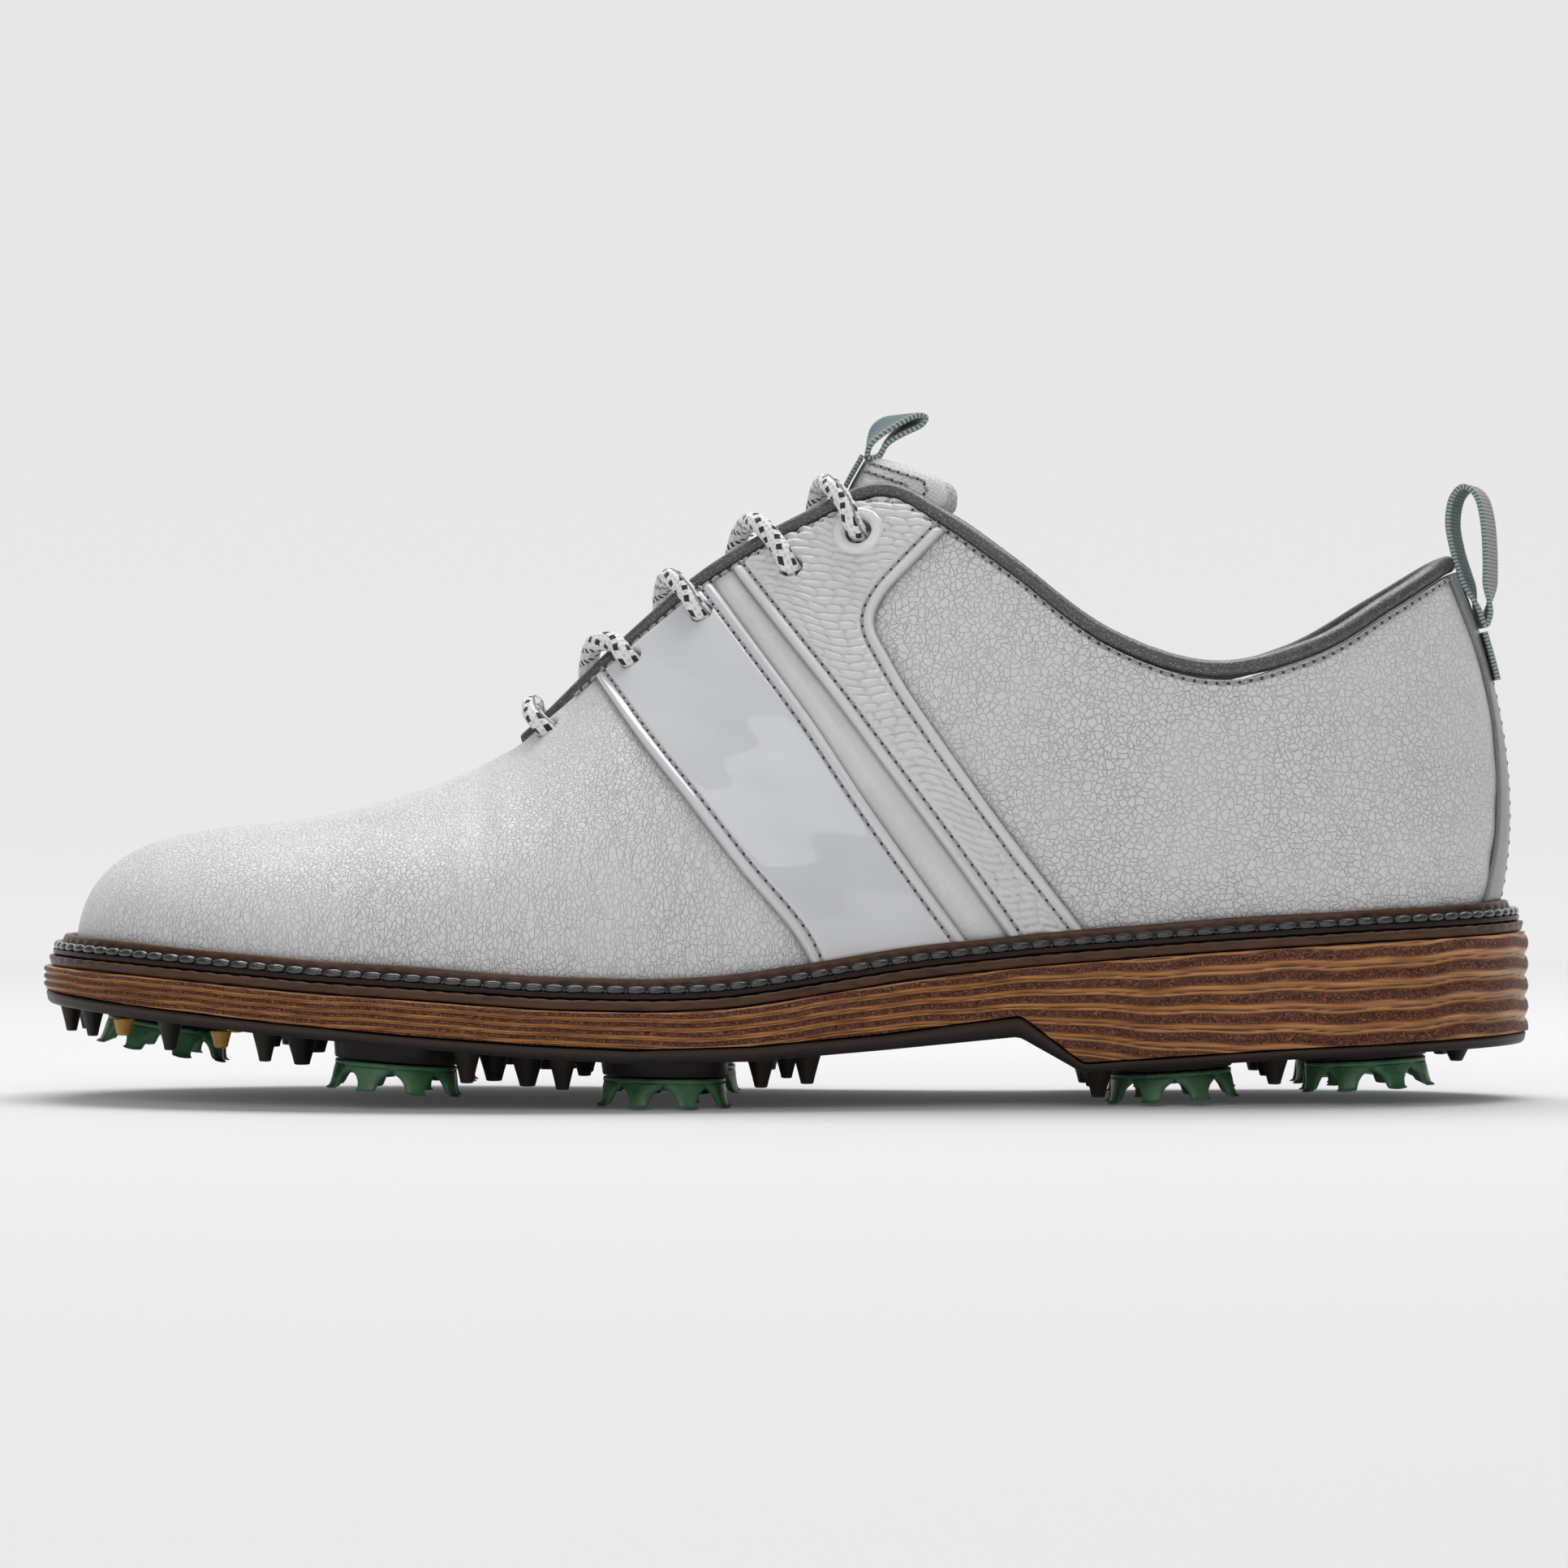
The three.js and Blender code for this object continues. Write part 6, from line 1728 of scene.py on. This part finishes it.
def square_nub(x, y, height, radius):
    """A four-sided stud with hollow sides and eased corners."""
    steps = np.linspace(0, 1, 9)
    corner = np.linspace(0, 2 * math.pi, 24, endpoint=False)
    blunt = np.abs(np.cos(corner)) ** 3.2 + np.abs(np.sin(corner)) ** 3.2
    shape = np.stack([np.cos(corner), np.sin(corner)], 1) / (blunt ** (1 / 3.2))[:, None]
    shape = shape @ np.array([[math.cos(0.785), math.sin(0.785)], [-math.sin(0.785), math.cos(0.785)]])
    z0 = float(sole_bottom(x))
    rings = []
    for s in steps:
        size = radius * (0.42 + 0.55 * (1 - s) ** 1.1)
        rings.append(np.column_stack([shape * size + (x, y), np.full(24, z0 + 0.6 - s * (height + 0.6))]))
    rings.append(rings[-1].copy())
    rings[-1][:, :2] = (rings[-1][:, :2] - (x, y)) * 0.75 + (x, y)
    rings[-1][:, 2] -= 0.12
    rings = rings[::-1]
    faces = grid_faces(len(rings), 24, wrap_columns=True)
    points = np.vstack([*rings, rings[0].mean(0)])
    k = np.arange(24)
    lid = np.stack([np.full(24, len(points) - 1), (k + 1) % 24, k], 1)
    return points, [faces, lid]


def outsole():
    """The moulded sole with a raised ring round each receptacle, and its nubs."""
    c, _ = outline_samples(1.0)
    count = len(c)
    x = outline_at(c, SOLE_OUT)[:, 0]
    low, high = sole_bottom(x), stack_bottom(x) - GAP
    rings = []
    for out, share in (
        (SOLE_OUT - 1.6, 0.0), (SOLE_OUT - 0.75, 0.05), (SOLE_OUT - 0.25, 0.22), (SOLE_OUT - 0.05, 0.45),
        (SOLE_OUT, 0.62), (SOLE_OUT + 0.12, 0.72), (SOLE_OUT + 0.1, 0.9), (SOLE_OUT - 0.1, 1.0),
    ):
        rings.append(np.column_stack([outline_at(c, out), low + share * (high - low)]))
    faces = grid_faces(len(rings), count, wrap_columns=True)
    flip, lid = cap_faces(count, 0, False), cap_faces(count, (len(rings) - 1) * count, True)
    parts = [(np.vstack(rings), [np.vstack([faces, flip[0], lid[0]]), np.vstack([flip[1], lid[1]])])]
    # Paler on the rim's outermost rings: painted highlight.
    painted_light = [np.repeat([0, 0, 0.1, 0.3, 0.9, 1.0, 0.6, 0.2], count)]
    for _, *place in CLEATS:
        origin, axis = cleat_frame(*place)
        reach = float(sole_bottom(place[0])) - origin[2] + 0.9
        ring = rounded([
            (RECEPTACLE_RADIUS + GAP, GAP), (BOSS_RADIUS - 0.1, GAP), (BOSS_RADIUS + 0.5, reach),
            (RECEPTACLE_RADIUS + GAP, reach),
        ], 0.35, 4)
        v, f = lathe(ring, 56)
        parts.append((on_axis(v, origin, axis), f))
        painted_light.append(np.zeros(len(v)))
    for nub in NUBS:
        v, f = square_nub(*nub)
        parts.append((v, f))
        # Paler nub tips: painted highlight.
        painted_light.append(np.where(v[:, 2] < v[:, 2].min() + 0.6, 0.8, 0.15))
    points, faces = join(parts)
    build("outsole_body", points, faces, SOLE_LOOK, slot="outsole_tpu", replaces=["outsole"],
          attributes={"painted_light": np.concatenate(painted_light)})


outsole()


def cleat_shape():
    """A disc with a rim and eight wide curved legs that flare out at their feet."""
    parts = []
    disc = rounded([
        (0.5, -1.75), (9.6, -1.75), (11.4, -1.5), (CLEAT_RADIUS, -0.9), (CLEAT_RADIUS, 0.0), (0.5, 0.0),
    ], 0.4, 4)
    parts.append(lathe(disc, 72))
    hub = rounded([(0.4, -2.6), (3.4, -2.6), (4.1, -2.2), (4.3, -1.5), (0.4, -1.5)], 0.4, 4)
    parts.append(lathe(hub, 40))
    stem = rounded([(0.4, -0.3), (3.6, -0.3), (3.6, 1.8), (0.4, 1.8)], 0.3, 3)
    parts.append(lathe(stem, 32))
    s = np.linspace(0, 1, 19)
    centre = np.interp(s, [0, 0.3, 0.75, 0.9, 1], [11.0, 11.5, 12.2, 12.6, CLEAT_TIP_RADIUS - 0.45])
    height = np.interp(s, [0, 1], [-0.9, -CLEAT_HEIGHT])
    half = np.interp(s, [0, 0.16, 0.28, 0.4, 0.6, 0.85, 1], [4.5, 4.4, 3.5, 2.75, 2.15, 1.9, 2.0])
    thick = np.interp(s, [0, 0.3, 0.8, 1], [0.95, 0.85, 0.7, 0.5])
    round_ends = np.linspace(-1, 1, 13)
    for k in range(8):
        angle = math.pi / 4 * k + math.pi / 8
        rings = []
        for r, z, h, t in zip(centre, height, half, thick):
            a = round_ends * h / r
            taper = np.sqrt(np.clip(1 - np.abs(round_ends) ** 6, 0.12, 1)) * t
            lift = 0.25 * np.abs(round_ends) ** 2 * (z < -5.3)
            outer = np.column_stack([(r + taper) * np.cos(a), (r + taper) * np.sin(a), z + lift])
            inner = np.column_stack([(r - taper) * np.cos(a), (r - taper) * np.sin(a), z + lift])
            rings.append(np.vstack([outer, inner[::-1]]))
        rings = np.array(rings[::-1])
        turned = rings.copy()
        turned[..., 0] = rings[..., 0] * math.cos(angle) - rings[..., 1] * math.sin(angle)
        turned[..., 1] = rings[..., 0] * math.sin(angle) + rings[..., 1] * math.cos(angle)
        n = rings.shape[1]
        faces = grid_faces(len(rings), n, wrap_columns=True)
        j = np.arange(12)
        cap = np.stack([j, n - 1 - j, n - 2 - j, j + 1], 1)
        top = (len(rings) - 1) * n
        parts.append((turned, np.vstack([faces, cap, cap[:, ::-1] + top])))
    return join(parts)


cleat_points, cleat_faces = cleat_shape()
for name, *place in CLEATS:
    origin, axis = cleat_frame(*place)
    build(f"cleat_{name}_moulding", on_axis(cleat_points, origin, axis), cleat_faces, CLEAT_LOOK,
          body=f"cleat_{name}", slot="cleat_tpu", replaces=[f"cleat_{name}"])

for name, x, y in (("toe", -131, -20.5), ("lateral", -110.5, -33), ("medial", -113.5, 33)):
    z = float(sole_bottom(x)) - 2 * GAP
    ring = [
        (0.3, z - 3.4), (1.0, z - 3.4), (1.35, z - 3.1), (1.7, z - 1.6), (2.1, z - 0.2), (2.0, z), (0.3, z),
    ]
    vertices, faces = lathe(rounded(ring, 0.15, 3), 32)
    build(f"accent_nub_{name}_stud", vertices + np.array([x, y, 0]), faces, ACCENT_LOOK, slot="accent_tpu",
          replaces=[f"accent_nub_{name}"])


# ---------- sock liner ----------
def sock_liner():
    """Insole with a cupped edge and a slight arch."""
    t = np.linspace(0.12, 17.9, 170)
    w = np.linspace(-1, 1, 60)
    inset = -(LEATHER + GAP + LINING + COUNTER + 3 * GAP) - 1.8
    a, b = outline_at(t, inset), outline_at(LOOP - t, inset)
    half = (b - a) / 2
    middle = (a + b) / 2
    xy = middle[:, None] + half[:, None] * w[None, :, None]
    base = platform(xy[..., 0]) + GAP + BOARD_THICKNESS + GAP
    cup = 1.6 * np.abs(w) ** 5 * smooth(-60, 60, xy[..., 0])
    dip = -0.5 * (1 - w**2) * smooth(60, 100, xy[..., 0])
    top = np.concatenate([xy, (base + SOCK_THICKNESS + cup + dip)[..., None]], -1)
    under = np.concatenate([xy, base[..., None]], -1)
    build("sock_liner_pad", np.vstack([top.reshape(-1, 3), under.reshape(-1, 3)]),
          sheet_faces(170, 60)[:, ::-1], SOCK_LOOK, slot="lining_textile", replaces=["sock_liner"])


sock_liner()

# ---------- pieces inside, kept as the CAD has them ----------
KEPT = {
    "toe_puff": FOAM_LOOK, "heel_counter": BOARD_LOOK, "lasting_board": BOARD_LOOK, "cork_filler": CORK_LOOK,
    "shank": STEEL_LOOK,
}
KEPT.update({f"receptacle_{name}": NYLON_LOOK for name, *_ in CLEATS})
for node, look in KEPT.items():
    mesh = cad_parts[node].data
    mesh.materials.clear()
    mesh.materials.append(look)
